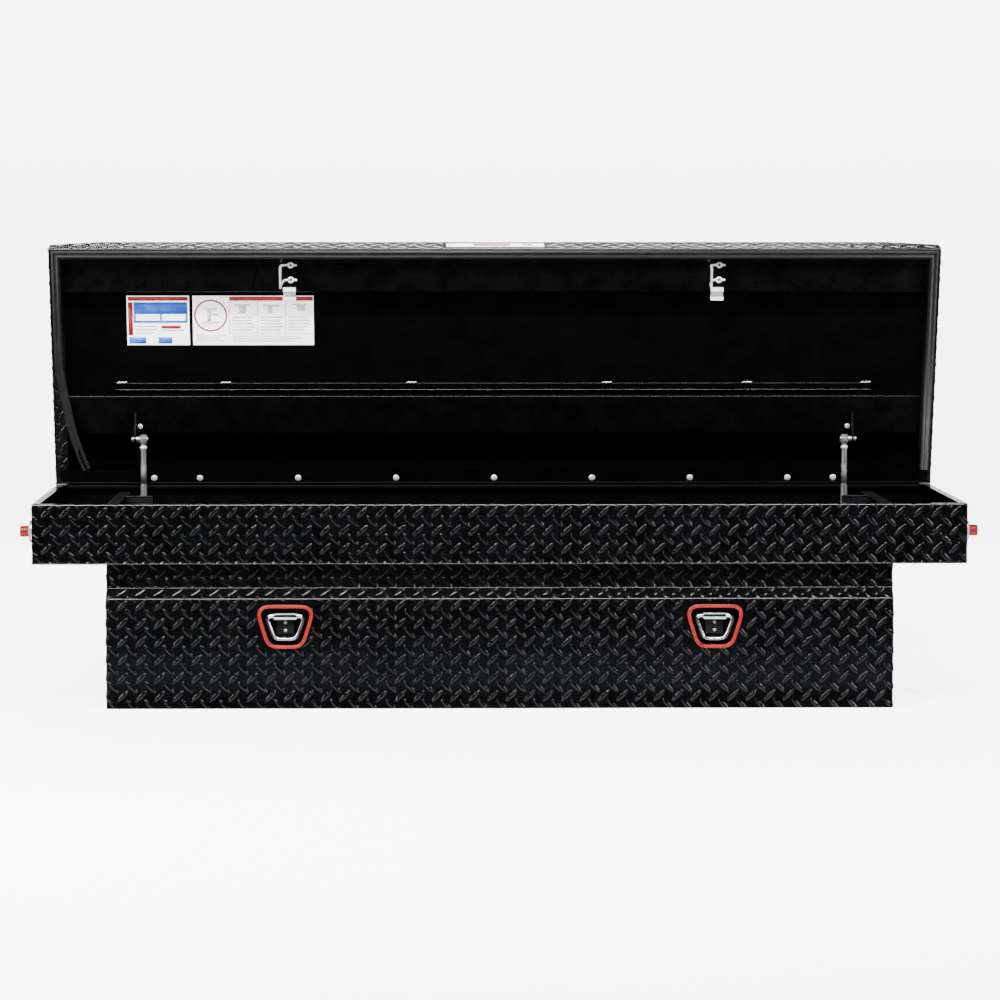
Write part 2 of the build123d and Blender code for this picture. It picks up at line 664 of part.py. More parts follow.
def eye(side, place):
    """Round strut end with the bore for its stud."""
    y, z = place
    inner = side * (STRUT_X - EYE_WIDTH / 2)
    outer = side * (STRUT_X + EYE_WIDTH / 2)
    return bar((inner, y, z), (outer, y, z), EYE_RADIUS)


def eye_bore(side, place):
    y, z = place
    return bar((side * (STRUT_X - EYE_WIDTH), y, z), (side * (STRUT_X + EYE_WIDTH), y, z),
               STUD_RADIUS + RUNNING_FIT)


def along_strut(side, distance):
    """Point on the strut's centre line, measured from the upper stud towards the lower one."""
    (y0, z0), (y1, z1) = UPPER_STUD, LOWER_STUD
    share = distance / STRUT_LENGTH
    return (side * STRUT_X, y0 + (y1 - y0) * share, z0 + (z1 - z0) * share)


def make_strut_tube(side):
    """Pressure tube with its end eye; the rod slides in the bore from below."""
    neck = bar(along_strut(side, 0), along_strut(side, TUBE_START), NECK_RADIUS)
    body = bar(along_strut(side, TUBE_START), along_strut(side, TUBE_END), TUBE_RADIUS)
    bore = bar(along_strut(side, TUBE_START + TUBE_END_WALL), along_strut(side, TUBE_END + SHEET), TUBE_BORE)
    return eye(side, UPPER_STUD) + neck + (body - bore) - eye_bore(side, UPPER_STUD)


def make_strut_rod(side):
    """Piston rod with its end eye, and the dust shroud that the tube slides into."""
    lower = STRUT_LENGTH
    rod = bar(along_strut(side, lower), along_strut(side, lower - ROD_LENGTH), ROD_RADIUS)
    shroud_foot = lower - SHROUD_FOOT
    shroud_top = lower - SHROUD_LENGTH
    shroud = bar(along_strut(side, shroud_foot), along_strut(side, shroud_top), SHROUD_RADIUS)
    bore_foot = shroud_foot - SHROUD_FLOOR
    bore = bar(along_strut(side, bore_foot), along_strut(side, shroud_top - SHEET), SHROUD_BORE)
    return eye(side, LOWER_STUD) + (shroud - bore) + rod - eye_bore(side, LOWER_STUD)


def make_struts():
    """Both gas struts with their brackets, studs and bracket bolts."""
    for name, side in SIDES.items():
        add(f"lid_bracket_{name}", opened(make_lid_bracket(side)))
        add(f"strut_tube_{name}", make_strut_tube(side))
        add(f"strut_rod_{name}", make_strut_rod(side))
    add("strut_feet", Compound(children=[make_strut_foot(side) for side in SIDES.values()]))
    add("lid_studs", Compound(children=[stud(side, UPPER_STUD) for side in SIDES.values()]))
    add("body_studs", Compound(children=[stud(side, LOWER_STUD) for side in SIDES.values()]))
    x = BRACKET_X - BRACKET_BOLT_INBOARD
    y = BRACKET_EDGE_Y - BRACKET_BOLT_FROM_EDGE
    z = CHANNEL_Z - BRACKET_SHEET
    bolts = [dome(side * x, y, z, SCREW_RADIUS, SCREW_HEAD) for side in SIDES.values()]
    add("bracket_bolts", opened(Compound(children=bolts)))


# ---- locks and latches ----
def lock_bar(side, x_low, x_high, radius):
    """Round piece on one lock's axis; x counted outwards from the box centre."""
    return bar((side * x_low, LATCH_Y, BUTTON_Z), (side * x_high, LATCH_Y, BUTTON_Z), radius)


def make_lock(name, side):
    """Push button with its link rod, riding in a flanged lock barrel."""
    face = HALF + BUTTON_REACH
    cap = softened(lock_bar(side, HALF - BUTTON_DEPTH, face, BUTTON_RADIUS), BUTTON_EDGE)
    deep, tall = BUTTON_SLOT
    slot = block((side * (face - deep), LATCH_Y - deep / 2, BUTTON_Z - tall / 2),
                 (side * (face + deep), LATCH_Y + deep / 2, BUTTON_Z + tall / 2))
    add(f"push_button_{name}", cap - slot)
    add(f"link_rod_{name}", lock_bar(side, LATCH_X + HOOK_CLEARANCE, HALF - BUTTON_DEPTH, LINK_RADIUS))


def softened(piece, edge):
    """A round piece on a lock's axis with the rim of its outer end chamfered."""
    rims = piece.edges().filter_by(GeomType.CIRCLE)
    return chamfer(rims.sort_by(lambda rim: abs(rim.center().X))[-1], edge)


def make_lock_barrels():
    """Flanged barrels through the ear ends and the nuts that clamp them."""
    barrels = []
    nuts = []
    for side in SIDES.values():
        flange = softened(lock_bar(side, HALF, HALF + BEZEL_REACH, BEZEL_RADIUS), BEZEL_EDGE)
        barrel = lock_bar(side, HALF - BARREL_DEPTH, HALF, BARREL_RADIUS)
        bore = lock_bar(side, HALF - 2 * BARREL_DEPTH, HALF + 2 * BEZEL_REACH, BUTTON_RADIUS + RUNNING_FIT)
        barrels.append(flange + barrel - bore)
        plane = Plane(origin=(side * (HALF - SHEET), LATCH_Y, BUTTON_Z), z_dir=(-side, 0, 0))
        nut = extrude(plane * RegularPolygon(NUT_FLAT / 2, 6, major_radius=False), amount=NUT_THICKNESS)
        nuts.append(nut - lock_bar(side, HALF - 2 * BARREL_DEPTH, HALF, BARREL_RADIUS))
    add("lock_barrels", Compound(children=barrels))
    add("lock_nuts", Compound(children=nuts))


def make_hook(side):
    """Latch hook on its pivot; the nose reaches over the striker bar."""
    points = [(side * (LATCH_X + x), z) for x, z in HOOK_OUTLINE]
    if side < 0:
        points.reverse()
    half = HOOK_SHEET / 2
    plate = prism_y(points, LATCH_Y - half, LATCH_Y + half)
    x = side * PIVOT_X
    return plate - bar((x, LATCH_Y - 3 * half, HOOK_PIVOT_Z), (x, LATCH_Y + 3 * half, HOOK_PIVOT_Z),
                       HOOK_PIN_RADIUS + RUNNING_FIT)


def make_latch_bracket(side):
    """Channel on the fascia's inner face with two cheeks for the hook's pin."""
    x_out = side * (LATCH_X + LATCH_OUTBOARD)
    x_in = side * (LATCH_X - LATCH_INBOARD)
    wall = FRONT + SHEET
    floor_top = LATCH_FLOOR_Z + BRACKET_SHEET
    rear_face = CHEEK_REAR + BRACKET_SHEET
    base = block((x_in, wall, LATCH_FLOOR_Z), (x_out, rear_face, floor_top))
    tab = block((x_in, wall, LATCH_FLOOR_Z), (x_out, wall + BRACKET_SHEET, CHEEK_TOP + LATCH_TAB))
    front = block((x_in, CHEEK_FRONT - BRACKET_SHEET, LATCH_FLOOR_Z), (x_out, CHEEK_FRONT, CHEEK_TOP))
    rear = block((x_in, CHEEK_REAR, LATCH_FLOOR_Z), (x_out, rear_face, CHEEK_TOP))
    return base + tab + front + rear - latch_pin(side)


def latch_pin(side):
    """The hook's pivot pin through both cheeks."""
    x = side * PIVOT_X
    return bar((x, CHEEK_FRONT - PIN_OVERRUN, HOOK_PIVOT_Z), (x, CHEEK_REAR + PIN_OVERRUN, HOOK_PIVOT_Z),
               HOOK_PIN_RADIUS)


def make_latch_spring(side):
    """Torsion spring beside the hook: a helix round the pin, with a straight leg at each end."""
    path = Helix(pitch=SPRING_PITCH, height=SPRING_PITCH * SPRING_TURNS, radius=SPRING_RADIUS)
    coil = sweep(Plane(origin=path @ 0, z_dir=path % 0) * Circle(SPRING_WIRE), path=path, is_frenet=True)
    for end, way in ((0, -1), (1, 1)):
        start = path @ end
        direction = path % end
        tip = start + direction * (way * SPRING_LEG)
        coil += bar(start, tip, SPRING_WIRE)
    first = LATCH_Y + HOOK_SHEET / 2 + SPRING_GAP
    return Plane(origin=(side * PIVOT_X, first, HOOK_PIVOT_Z), z_dir=(0, 1, 0)) * coil


def make_latches():
    """Hooks, brackets, pivot pins, springs, bracket bolts and link-rod guides."""
    for name, side in SIDES.items():
        make_lock(name, side)
        add(f"latch_hook_{name}", make_hook(side))
    sides = SIDES.values()
    add("latch_brackets", Compound(children=[make_latch_bracket(side) for side in sides]))
    add("latch_pins", Compound(children=[latch_pin(side) for side in sides]))
    add("latch_springs", Compound(children=[make_latch_spring(side) for side in sides]))
    add("latch_bolts", Compound(children=[bolt for side in sides for bolt in make_latch_bolts(side)]))
    add("link_guides", Compound(children=[make_link_guide(side) for side in sides]))


def make_latch_bolts(side):
    """Two hex heads that clamp one latch bracket to the fascia."""
    tab_face = FRONT + SHEET + BRACKET_SHEET
    heads = []
    for shift in LATCH_BOLTS:
        x = side * (LATCH_X + shift)
        plane = Plane(origin=(x, tab_face, CHEEK_TOP + LATCH_BOLT_RISE), z_dir=(0, 1, 0))
        heads.append(extrude(plane * RegularPolygon(SCREW_RADIUS, 6), amount=SCREW_HEAD + 1))
    return heads


def make_link_guide(side):
    """Folded tab from the fascia with an eye for the link rod."""
    wall, low, high = FRONT + SHEET, BUTTON_Z - GUIDE_HALF, BUTTON_Z + GUIDE_HALF
    x_face = side * GUIDE_X
    plate = block((x_face, wall, low), (side * (GUIDE_X + GUIDE_SHEET), LATCH_Y + GUIDE_HALF, high))
    foot = block((x_face, wall, low), (side * (GUIDE_X + GUIDE_FOOT), wall + SHEET, high))
    bore = lock_bar(side, GUIDE_X - GUIDE_SHEET, GUIDE_X + 2 * GUIDE_SHEET, LINK_RADIUS + RUNNING_FIT)
    return plate + foot - bore


# ---- tie-down rings ----
def pan_face(inset):
    """Outline of the pan or its bezel, shrunk by inset all round."""
    foot = RING_BEZEL_TOP - RING_BEZEL_HEIGHT
    return trapezoid(RING_BEZEL_WIDTH / 2 - inset, RING_BEZEL_FOOT / 2 - inset,
                     RING_BEZEL_TOP - inset, foot + inset, RING_CORNER - inset / 2)


def make_pan():
    """Pressed pan behind the front panel, open to the front."""
    wall = RING_BEZEL_BAND - SHEET
    outside = on_front(pan_face(wall), FRONT + PAN_DEPTH, PAN_DEPTH)
    inside = on_front(pan_face(wall + PAN_SHEET), FRONT + PAN_DEPTH - PAN_SHEET, PAN_DEPTH)
    return outside - inside


def make_ring_bezel():
    """Raised trim frame round the pan's mouth."""
    outside = on_front(pan_face(0), FRONT, RING_BEZEL_PROUD)
    inside = on_front(pan_face(RING_BEZEL_BAND), FRONT + SHEET, RING_BEZEL_PROUD + 2 * SHEET)
    return outside - inside


def make_ring():
    """Tie-down ring bent from round bar to a tapered D."""
    top, foot = RING_TOP_WIDTH / 2, RING_FOOT_WIDTH / 2
    low = RING_PIVOT_Z - RING_DROP
    corners = [(-top, RING_PIVOT_Z), (top, RING_PIVOT_Z), (foot, low), (-foot, low)]
    ring = None
    for index, (x, z) in enumerate(corners):
        x_next, z_next = corners[(index + 1) % len(corners)]
        side = bar((x, RING_Y, z), (x_next, RING_Y, z_next), RING_WIRE)
        side += Pos(x, RING_Y, z) * Sphere(RING_WIRE)
        ring = side if ring is None else ring + side
    return ring


def make_ring_clip():
    """Saddle over the ring's top bar, on a plate screwed to the pan's floor."""
    half = CLIP_WIDTH / 2
    reach = RING_WIRE + CLIP_WALL
    saddle = block((-half, RING_Y - reach, RING_PIVOT_Z - reach), (half, PAN_FLOOR, RING_PIVOT_Z + reach))
    plate_half = half * CLIP_PLATE_SHARE
    plate = block((-plate_half, PAN_FLOOR - 2 * SHEET, RING_PIVOT_Z - CLIP_PLATE_DROP),
                  (plate_half, PAN_FLOOR, RING_PIVOT_Z - reach))
    bore = bar((-CLIP_WIDTH, RING_Y, RING_PIVOT_Z), (CLIP_WIDTH, RING_Y, RING_PIVOT_Z),
               RING_WIRE + RUNNING_FIT)
    return saddle + plate - bore


def make_ring_screws():
    """Two round screw heads on the clip's plate."""
    face = PAN_FLOOR - 2 * SHEET
    heights = [RING_PIVOT_Z - drop for drop in CLIP_SCREW_DROPS]
    return [bar((0, face, z), (0, face - CLIP_SCREW_HEAD, z), CLIP_SCREW_RADIUS) for z in heights]


def make_tie_downs():
    """Both tie-down stations."""
    places = [Pos(side * RING_X, 0, 0) for side in SIDES.values()]
    add("ring_pans", Compound(children=[place * make_pan() for place in places]))
    add("ring_bezels", Compound(children=[place * make_ring_bezel() for place in places]))
    add("ring_clips", Compound(children=[place * make_ring_clip() for place in places]))
    add("ring_screws", Compound(children=[place * screw for place in places for screw in make_ring_screws()]))
    for name, place in zip(SIDES, places):
        add(f"tie_ring_{name}", place * make_ring())


def make_lid():
    """The lid's sheet parts and trim."""
    add("lid_skin", opened(make_lid_skin()))
    add("lid_front_channel", opened(make_channel(FRONT_CHANNEL)))
    add("lid_rear_channel", opened(make_channel(REAR_CHANNEL)))
    add("lid_gasket", opened(make_gasket()))
    make_labels()
    make_lid_rod()
    make_strikers()


def main():
    make_tub()
    make_upper_frame()
    make_braces()
    make_hinge()
    make_lid()
    make_struts()
    make_lock_barrels()
    make_latches()
    make_tie_downs()
    os.makedirs("parts", exist_ok=True)
    for name, shape in NODES.items():
        export_step(shape, f"parts/{name}.step")
    print(len(NODES), "nodes")


main()
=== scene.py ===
import json
import math
import random

import bmesh
import bpy
import numpy as np
from mathutils import Matrix, Vector


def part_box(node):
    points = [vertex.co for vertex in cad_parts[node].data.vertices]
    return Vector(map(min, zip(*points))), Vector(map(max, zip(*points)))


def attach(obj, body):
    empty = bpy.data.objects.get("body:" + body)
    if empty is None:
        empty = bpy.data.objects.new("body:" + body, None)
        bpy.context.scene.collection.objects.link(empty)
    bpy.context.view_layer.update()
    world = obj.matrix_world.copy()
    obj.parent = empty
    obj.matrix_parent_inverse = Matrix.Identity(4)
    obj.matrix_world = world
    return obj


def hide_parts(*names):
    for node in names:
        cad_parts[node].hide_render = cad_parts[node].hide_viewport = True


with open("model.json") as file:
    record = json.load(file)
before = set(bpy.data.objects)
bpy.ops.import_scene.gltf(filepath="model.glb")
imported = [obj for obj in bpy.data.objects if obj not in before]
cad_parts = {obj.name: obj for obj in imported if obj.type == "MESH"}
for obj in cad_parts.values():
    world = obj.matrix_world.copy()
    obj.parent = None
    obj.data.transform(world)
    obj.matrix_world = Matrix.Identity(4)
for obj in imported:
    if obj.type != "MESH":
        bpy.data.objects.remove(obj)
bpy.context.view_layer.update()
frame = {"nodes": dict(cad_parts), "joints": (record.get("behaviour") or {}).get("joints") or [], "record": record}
nodes = frame["nodes"]
random.seed(7)

# ---- places read from the frame, in metres ----
HINGE = next(joint for joint in frame["joints"] if joint["name"] == "lid_hinge")
AXIS = Vector(HINGE["pos_m"])
OPEN = math.radians(HINGE["range_deg"][1])
TO_OPEN = Matrix.Translation(AXIS) @ Matrix.Rotation(-OPEN, 4, "X") @ Matrix.Translation(-AXIS)
TO_CLOSED = TO_OPEN.inverted()
SHEET = 0.002


def closed_box(node):
    """Corners of a lid node with the lid shut, in metres."""
    points = np.array([TO_CLOSED @ v.co for v in nodes[node].data.vertices])
    return Vector(points.min(0)), Vector(points.max(0))


LID_LOW, LID_HIGH = closed_box("lid_skin")
FASCIA_LOW, FASCIA_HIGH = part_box("front_fascia")
TUB_LOW, TUB_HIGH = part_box("tub_end_left")
PANEL_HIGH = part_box("tub_front_panel")[1]
EAR_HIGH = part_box("ear_end_right")[1]
BEZELS_LOW, BEZELS_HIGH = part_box("ring_bezels")
FRONT = FASCIA_LOW.y
REAR = TUB_HIGH.y
EAR_X = EAR_HIGH.x
TUB_X = -TUB_LOW.x
RIM = FASCIA_HIGH.z
EAR_Z = FASCIA_LOW.z

# ---- tread pattern ----
LUG_PITCH = Vector((0.036, 0.0355))
LUG_SHIFT = 0.25
LUG_LENGTH = 0.031
LUG_WIDTH = 0.0072
LUG_HEIGHT = 0.0013
LUG_STATIONS = (-1, -0.93, -0.78, -0.55, -0.28, 0, 0.28, 0.55, 0.78, 0.93, 1)
LUG_ACROSS = (-1, -0.9, -0.74, -0.45, 0, 0.45, 0.74, 0.9, 1)
LUG_SINK = 0.0001
LUG_LEAST = 0.15
EDGE = 0.001
BEND_EDGE = 0.002
FOLD = 0.0035
LIP_RUN = 0.014
RIM_RISE = 0.25
BAND_HEIGHT = 0.048
LOCK_MARGIN = 0.006
BEZEL_MARGIN = 0.003
LID_BEVEL = 0.105
LID_END_HEIGHT = 0.038
LID_MARGIN = 0.008
FLANGE = 0.028
FLANGE_FROM_AXIS = 0.03

# Where the pattern starts on each front sheet, in shares of its pitch.
FASCIA_START = (0.32, 0.575)
LOWER_START = (0.345, 0.46)
LEDGE_START = (0.345, 0.29)
BAND_START = (0.4, 0.15)


# ---- mesh helpers ----
def mesh_object(name, points, faces, smooth=True):
    """A mesh object from plain lists of points and faces."""
    mesh = bpy.data.meshes.new(name)
    mesh.from_pydata([tuple(p) for p in points], [], [tuple(f) for f in faces])
    mesh.validate()
    mesh.update()
    if smooth:
        mesh.shade_smooth()
    obj = bpy.data.objects.new(name, mesh)
    bpy.context.scene.collection.objects.link(obj)
    return obj


def with_arcs(corners, radius, closed=False, steps=6):
    """A path through corners, each eased by a curve that starts and ends a radius away."""
    corners = [Vector(corner) for corner in corners]
    radii = [radius] * len(corners) if isinstance(radius, float) else radius
    path = []
    for index, corner in enumerate(corners):
        if not closed and index in (0, len(corners) - 1):
            path.append(corner)
            continue
        before = corners[index - 1] - corner
        after = corners[(index + 1) % len(corners)] - corner
        start = corner + before.normalized() * min(radii[index], before.length / 2)
        end = corner + after.normalized() * min(radii[index], after.length / 2)
        for step in range(steps + 1):
            t = step / steps
            path.append(start * (1 - t) ** 2 + corner * (2 * t * (1 - t)) + end * t ** 2)
    return path


def wire(name, paths, radius, closed=False):
    """Round wire bent along each path, as one mesh."""
    data = bpy.data.curves.new(name, "CURVE")
    data.dimensions = "3D"
    data.bevel_depth = radius
    data.bevel_resolution = 5
    data.use_fill_caps = True
    for path in paths:
        line = data.splines.new("POLY")
        line.points.add(len(path) - 1)
        for point, place in zip(line.points, path):
            point.co = (*place, 1)
        line.use_cyclic_u = closed
    curve = bpy.data.objects.new(name + "_line", data)
    mesh = bpy.data.meshes.new_from_object(curve)
    bpy.data.objects.remove(curve)
    obj = bpy.data.objects.new(name, mesh)
    mesh.shade_smooth()
    bpy.context.scene.collection.objects.link(obj)
    return obj


def rings_to_faces(rows, count, closed_rows=False):
    """Quads between successive rings of points."""
    faces = []
    for row in range(rows if closed_rows else rows - 1):
        here, there = row * count, (row + 1) % rows * count
        for i in range(count):
            after = (i + 1) % count
            faces.append((here + i, here + after, there + after, there + i))
    return faces


def swept(path, section, up, closed=False):
    """Rings of a section (across, up) carried along a flat path, mitred at its corners."""
    up = Vector(up)
    rings = []
    for index, point in enumerate(path):
        ways = []
        if closed or index > 0:
            ways.append((point - path[index - 1]).normalized())
        if closed or index < len(path) - 1:
            ways.append((path[(index + 1) % len(path)] - point).normalized())
        side = sum(ways, Vector()).normalized().cross(up)
        stretch = 1 / max(side.dot(ways[0].cross(up)), 0.5)
        rings.append([point + side * (across * stretch) + up * rise for across, rise in section])
    return rings


def lathe(name, profile, places, turn=None, steps=28, hollow=False):
    """The same turned profile (radius, height) at several places; a hollow one is a closed loop."""
    turn = turn or Matrix.Identity(3)
    points, faces = [], []
    for place in places:
        first = len(points)
        for radius, height in profile:
            for step in range(steps):
                angle = math.tau * step / steps
                offset = Vector((radius * math.cos(angle), radius * math.sin(angle), height))
                points.append(Vector(place) + turn @ offset)
        faces += [tuple(first + i for i in face) for face in rings_to_faces(len(profile), steps, hollow)]
        if hollow:
            continue
        faces.append(tuple(first + i for i in reversed(range(steps))))
        last = len(points) - steps
        faces.append(tuple(last + i for i in range(steps)))
    return mesh_object(name, points, faces)


def slabs(name, boxes, edge):
    """Boxes (low, high) with rounded edges, as one mesh."""
    shape = bmesh.new()
    for low, high in boxes:
        middle = (Vector(low) + Vector(high)) / 2
        size = [abs(b - a) for a, b in zip(low, high)]
        place = Matrix.Translation(middle) @ Matrix.Diagonal((*size, 1))
        bmesh.ops.create_cube(shape, size=1, matrix=place)
    if edge:
        bmesh.ops.bevel(shape, geom=shape.edges[:], offset=edge, segments=3, profile=0.5, affect="EDGES")
    mesh = bpy.data.meshes.new(name)
    shape.to_mesh(mesh)
    shape.free()
    mesh.shade_smooth()
    obj = bpy.data.objects.new(name, mesh)
    bpy.context.scene.collection.objects.link(obj)
    return obj


def on_lid(obj, slot_name, *materials):
    """Turns a piece laid out with the lid shut to the open position and puts it on the lid."""
    obj.data.transform(TO_OPEN)
    return put(obj, "lid", slot_name, *materials)


def put(obj, body, slot_name, *materials):
    """Gives a piece its body and its materials; slot_name is not used."""
    for item in materials:
        obj.data.materials.append(item)
    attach(obj, body)
    return obj


# ---- materials ----
def principled(name, colour, roughness, metallic=0.0, specular=0.5):
    """A new material; returns it with its node tree and shader."""
    item = bpy.data.materials.new(name)
    item.use_nodes = True
    tree = item.node_tree
    shader = tree.nodes["Principled BSDF"]
    shader.inputs["Base Color"].default_value = (*colour, 1)
    shader.inputs["Roughness"].default_value = roughness
    shader.inputs["Metallic"].default_value = metallic
    shader.inputs["Specular IOR Level"].default_value = specular
    return item, tree, shader


def noise(tree, scale, detail=3.0, stretch=(1, 1, 1)):
    """Noise over the object's own coordinates; returns its value socket."""
    place = tree.nodes.new("ShaderNodeTexCoord")
    mapping = tree.nodes.new("ShaderNodeMapping")
    texture = tree.nodes.new("ShaderNodeTexNoise")
    mapping.inputs["Scale"].default_value = stretch
    texture.inputs["Scale"].default_value = scale
    texture.inputs["Detail"].default_value = detail
    tree.links.new(place.outputs["Object"], mapping.inputs["Vector"])
    tree.links.new(mapping.outputs["Vector"], texture.inputs["Vector"])
    return texture.outputs["Fac"]


def vary_colour(tree, shader, value, dark, light):
    """Base colour from dark to light along a value."""
    ramp = tree.nodes.new("ShaderNodeValToRGB")
    ramp.color_ramp.elements[0].position = 0.35
    ramp.color_ramp.elements[1].position = 0.65
    ramp.color_ramp.elements[0].color = (*dark, 1)
    ramp.color_ramp.elements[1].color = (*light, 1)
    tree.links.new(value, ramp.inputs["Fac"])
    tree.links.new(ramp.outputs["Color"], shader.inputs["Base Color"])


def vary_roughness(tree, shader, value, low, high):
    """Roughness from low to high along a value."""
    span = tree.nodes.new("ShaderNodeMapRange")
    span.inputs["From Min"].default_value = 0.3
    span.inputs["From Max"].default_value = 0.7
    span.inputs["To Min"].default_value = low
    span.inputs["To Max"].default_value = high
    tree.links.new(value, span.inputs["Value"])
    tree.links.new(span.outputs["Result"], shader.inputs["Roughness"])


def add_bump(tree, shader, value, depth):
    """Relief of the given depth in metres along a value."""
    bump = tree.nodes.new("ShaderNodeBump")
    bump.inputs["Strength"].default_value = 1.0
    bump.inputs["Distance"].default_value = depth
    tree.links.new(value, bump.inputs["Height"])
    tree.links.new(bump.outputs["Normal"], shader.inputs["Normal"])


def powder_coat(name, dark, light, roughness, specular, peel):
    """Black powder coat with faint mottle and orange peel."""
    item, tree, shader = principled(name, dark, roughness[0], 0.0, specular)
    vary_colour(tree, shader, noise(tree, 22.0), dark, light)
    vary_roughness(tree, shader, noise(tree, 60.0), *roughness)
    add_bump(tree, shader, noise(tree, 420.0, 1.5), peel)
    return item


def metal(name, dark, light, roughness, scale, stretch=(1, 1, 1), grain=0.000004, part_metal=1.0):
    """Bare or plated metal with a grain; dull plating is part metal, part diffuse."""
    item, tree, shader = principled(name, light, roughness[0], part_metal)
    vary_colour(tree, shader, noise(tree, scale, 4.0, stretch), dark, light)
    vary_roughness(tree, shader, noise(tree, scale * 2.0, 3.0, stretch), *roughness)
    add_bump(tree, shader, noise(tree, scale * 4.0, 2.0, stretch), grain)
    return item


def moulded(name, dark, light, roughness, specular, grain):
    """Moulded plastic or rubber with a fine grain."""
    item, tree, shader = principled(name, light, roughness[0], 0.0, specular)
    vary_colour(tree, shader, noise(tree, 90.0), dark, light)
    vary_roughness(tree, shader, noise(tree, 160.0), *roughness)
    add_bump(tree, shader, noise(tree, 900.0, 2.0), grain)
    return item


def printed(name, dark, light):
    """Ink on film: flat colour with faint fading."""
    item, tree, shader = principled(name, light, 0.4, 0.0, 0.4)
    vary_colour(tree, shader, noise(tree, 45.0), dark, light)
    vary_roughness(tree, shader, noise(tree, 200.0), 0.35, 0.5)
    add_bump(tree, shader, noise(tree, 500.0, 1.0), 0.00001)
    return item


TREAD = powder_coat("tread_gloss_black", (0.0004, 0.0004, 0.0005), (0.0009, 0.0009, 0.0011),
                    (0.11, 0.16), 0.5, 0.000003)
SATIN = powder_coat("satin_black", (0.0004, 0.0004, 0.0005), (0.001, 0.001, 0.0012),
                    (0.24, 0.34), 0.12, 0.00001)
DULL = powder_coat("dull_black", (0.0003, 0.0003, 0.0004), (0.0007, 0.0007, 0.0009),
                   (0.4, 0.5), 0.04, 0.00001)
BRACE = powder_coat("brace_grey", (0.0016, 0.0016, 0.002), (0.004, 0.004, 0.0048),
                    (0.35, 0.45), 0.2, 0.00001)
ZINC = metal("zinc_plate", (0.55, 0.55, 0.56), (0.8, 0.8, 0.82), (0.3, 0.45), 160.0, part_metal=0.7)
BRIGHT = metal("bright_plate", (0.75, 0.75, 0.76), (0.9, 0.9, 0.91), (0.28, 0.4), 220.0, part_metal=0.7)
STRUT = metal("strut_grey", (0.3, 0.3, 0.31), (0.45, 0.45, 0.46), (0.28, 0.38), 120.0, (1, 1, 0.1),
              part_metal=0.95)
CHROME = metal("lock_chrome", (0.6, 0.6, 0.62), (0.82, 0.82, 0.84), (0.25, 0.35), 60.0, part_metal=0.8)
RED = moulded("red_plastic", (0.11, 0.0012, 0.0003), (0.15, 0.002, 0.0006), (0.3, 0.42), 0.25, 0.00001)
RUBBER = moulded("seal_rubber", (0.003, 0.003, 0.0035), (0.006, 0.006, 0.007), (0.4, 0.55), 0.22, 0.00002)
BADGE = metal("badge_plate", (0.35, 0.33, 0.33), (0.6, 0.58, 0.57), (0.3, 0.4), 90.0, (0.1, 1, 1))
FILM = printed("label_white", (0.86, 0.86, 0.87), (0.94, 0.94, 0.94))
INK_RED = printed("label_red", (0.16, 0.004, 0.006), (0.24, 0.008, 0.01))
INK_BLUE = printed("label_blue", (0.008, 0.06, 0.34), (0.014, 0.09, 0.46))
INK_GREY = printed("label_grey", (0.34, 0.35, 0.38), (0.48, 0.49, 0.52))
NYLON = moulded("clip_nylon", (0.5, 0.5, 0.5), (0.68, 0.68, 0.68), (0.35, 0.5), 0.5, 0.00003)
SOCKET = moulded("socket_grey", (0.03, 0.03, 0.033), (0.09, 0.09, 0.095), (0.35, 0.5), 0.5, 0.00005)
# Grey metal for the rear corner tabs: a painted reflection on black sheet.
PAINTED_SHEEN = metal("painted_sheen_grey", (0.12, 0.12, 0.125), (0.2, 0.2, 0.21), (0.35, 0.5), 60.0)
RING_CHROME = metal("ring_chrome", (0.55, 0.55, 0.56), (0.78, 0.78, 0.79), (0.16, 0.26), 90.0)
RIBBED = moulded("clip_ribs", (0.13, 0.14, 0.14), (0.22, 0.23, 0.23), (0.4, 0.5), 0.4, 0.00001)

NODE_MATERIALS = {
    "tread_plate": TREAD, "sheet_black": SATIN, "zinc_steel": ZINC, "bright_fastener": BRIGHT,
    "strut_metal": STRUT, "lock_chrome": CHROME, "red_trim": RED, "seal_rubber": RUBBER,
    "label_film": FILM, "badge_plate": BADGE,
}

# Nodes whose material differs from that of their slot.
OWN_MATERIALS = {
    "end_brace_left": BRACE, "end_brace_right": BRACE, "hinge_pin": DULL, "lid_rod": SATIN,
    "striker_clips": NYLON, "ring_clips": BRACE, "hinge_body_leaf": DULL, "hinge_lid_leaf": DULL,
    # The rod clips' satin black is painted shade on their unlit sides; their lit tops are painted as bright wires.
    "lid_bracket_left": DULL, "lid_bracket_right": DULL, "lid_rod_clips": SATIN,
    "lid_studs": STRUT, "body_studs": STRUT,
}


def dress_nodes():
    """Gives every carried-over CAD node its own material, or that of its slot."""
    for part in frame["record"]["subparts"]:
        mesh = nodes[part["node"]].data
        mesh.materials.clear()
        mesh.materials.append(OWN_MATERIALS.get(part["node"], NODE_MATERIALS[part["material_slot"]]))
    # The rear rim's front and top faces get the dull coat: painted shade, where the open lid shades the gloss
    # sheet.
    recoat("rear_upper_panel", DULL, lambda face: face.normal.y < -0.2 or face.normal.z > 0.3)
    recoat("lid_skin", DULL, is_inside_lid)
    for name in ("left", "right"):
        eye = strut_line(name)[0]
        recoat(f"strut_tube_{name}", SOCKET, lambda face: (face.center - eye).length < EYE * 1.3)


def recoat(node, material, wanted):
    """Another material on those faces of a node that are wanted."""
    mesh = nodes[node].data
    mesh.materials.append(material)
    for face in mesh.polygons:
        if wanted(face):
            face.material_index = 1


def is_inside_lid(face):
    """True for the faces of the lid's skin that look down into the box when it is shut."""
    normal = TO_CLOSED.to_3x3() @ face.normal
    return normal.z < -0.3 and (TO_CLOSED @ face.center).z > LID_LOW.z + 0.01


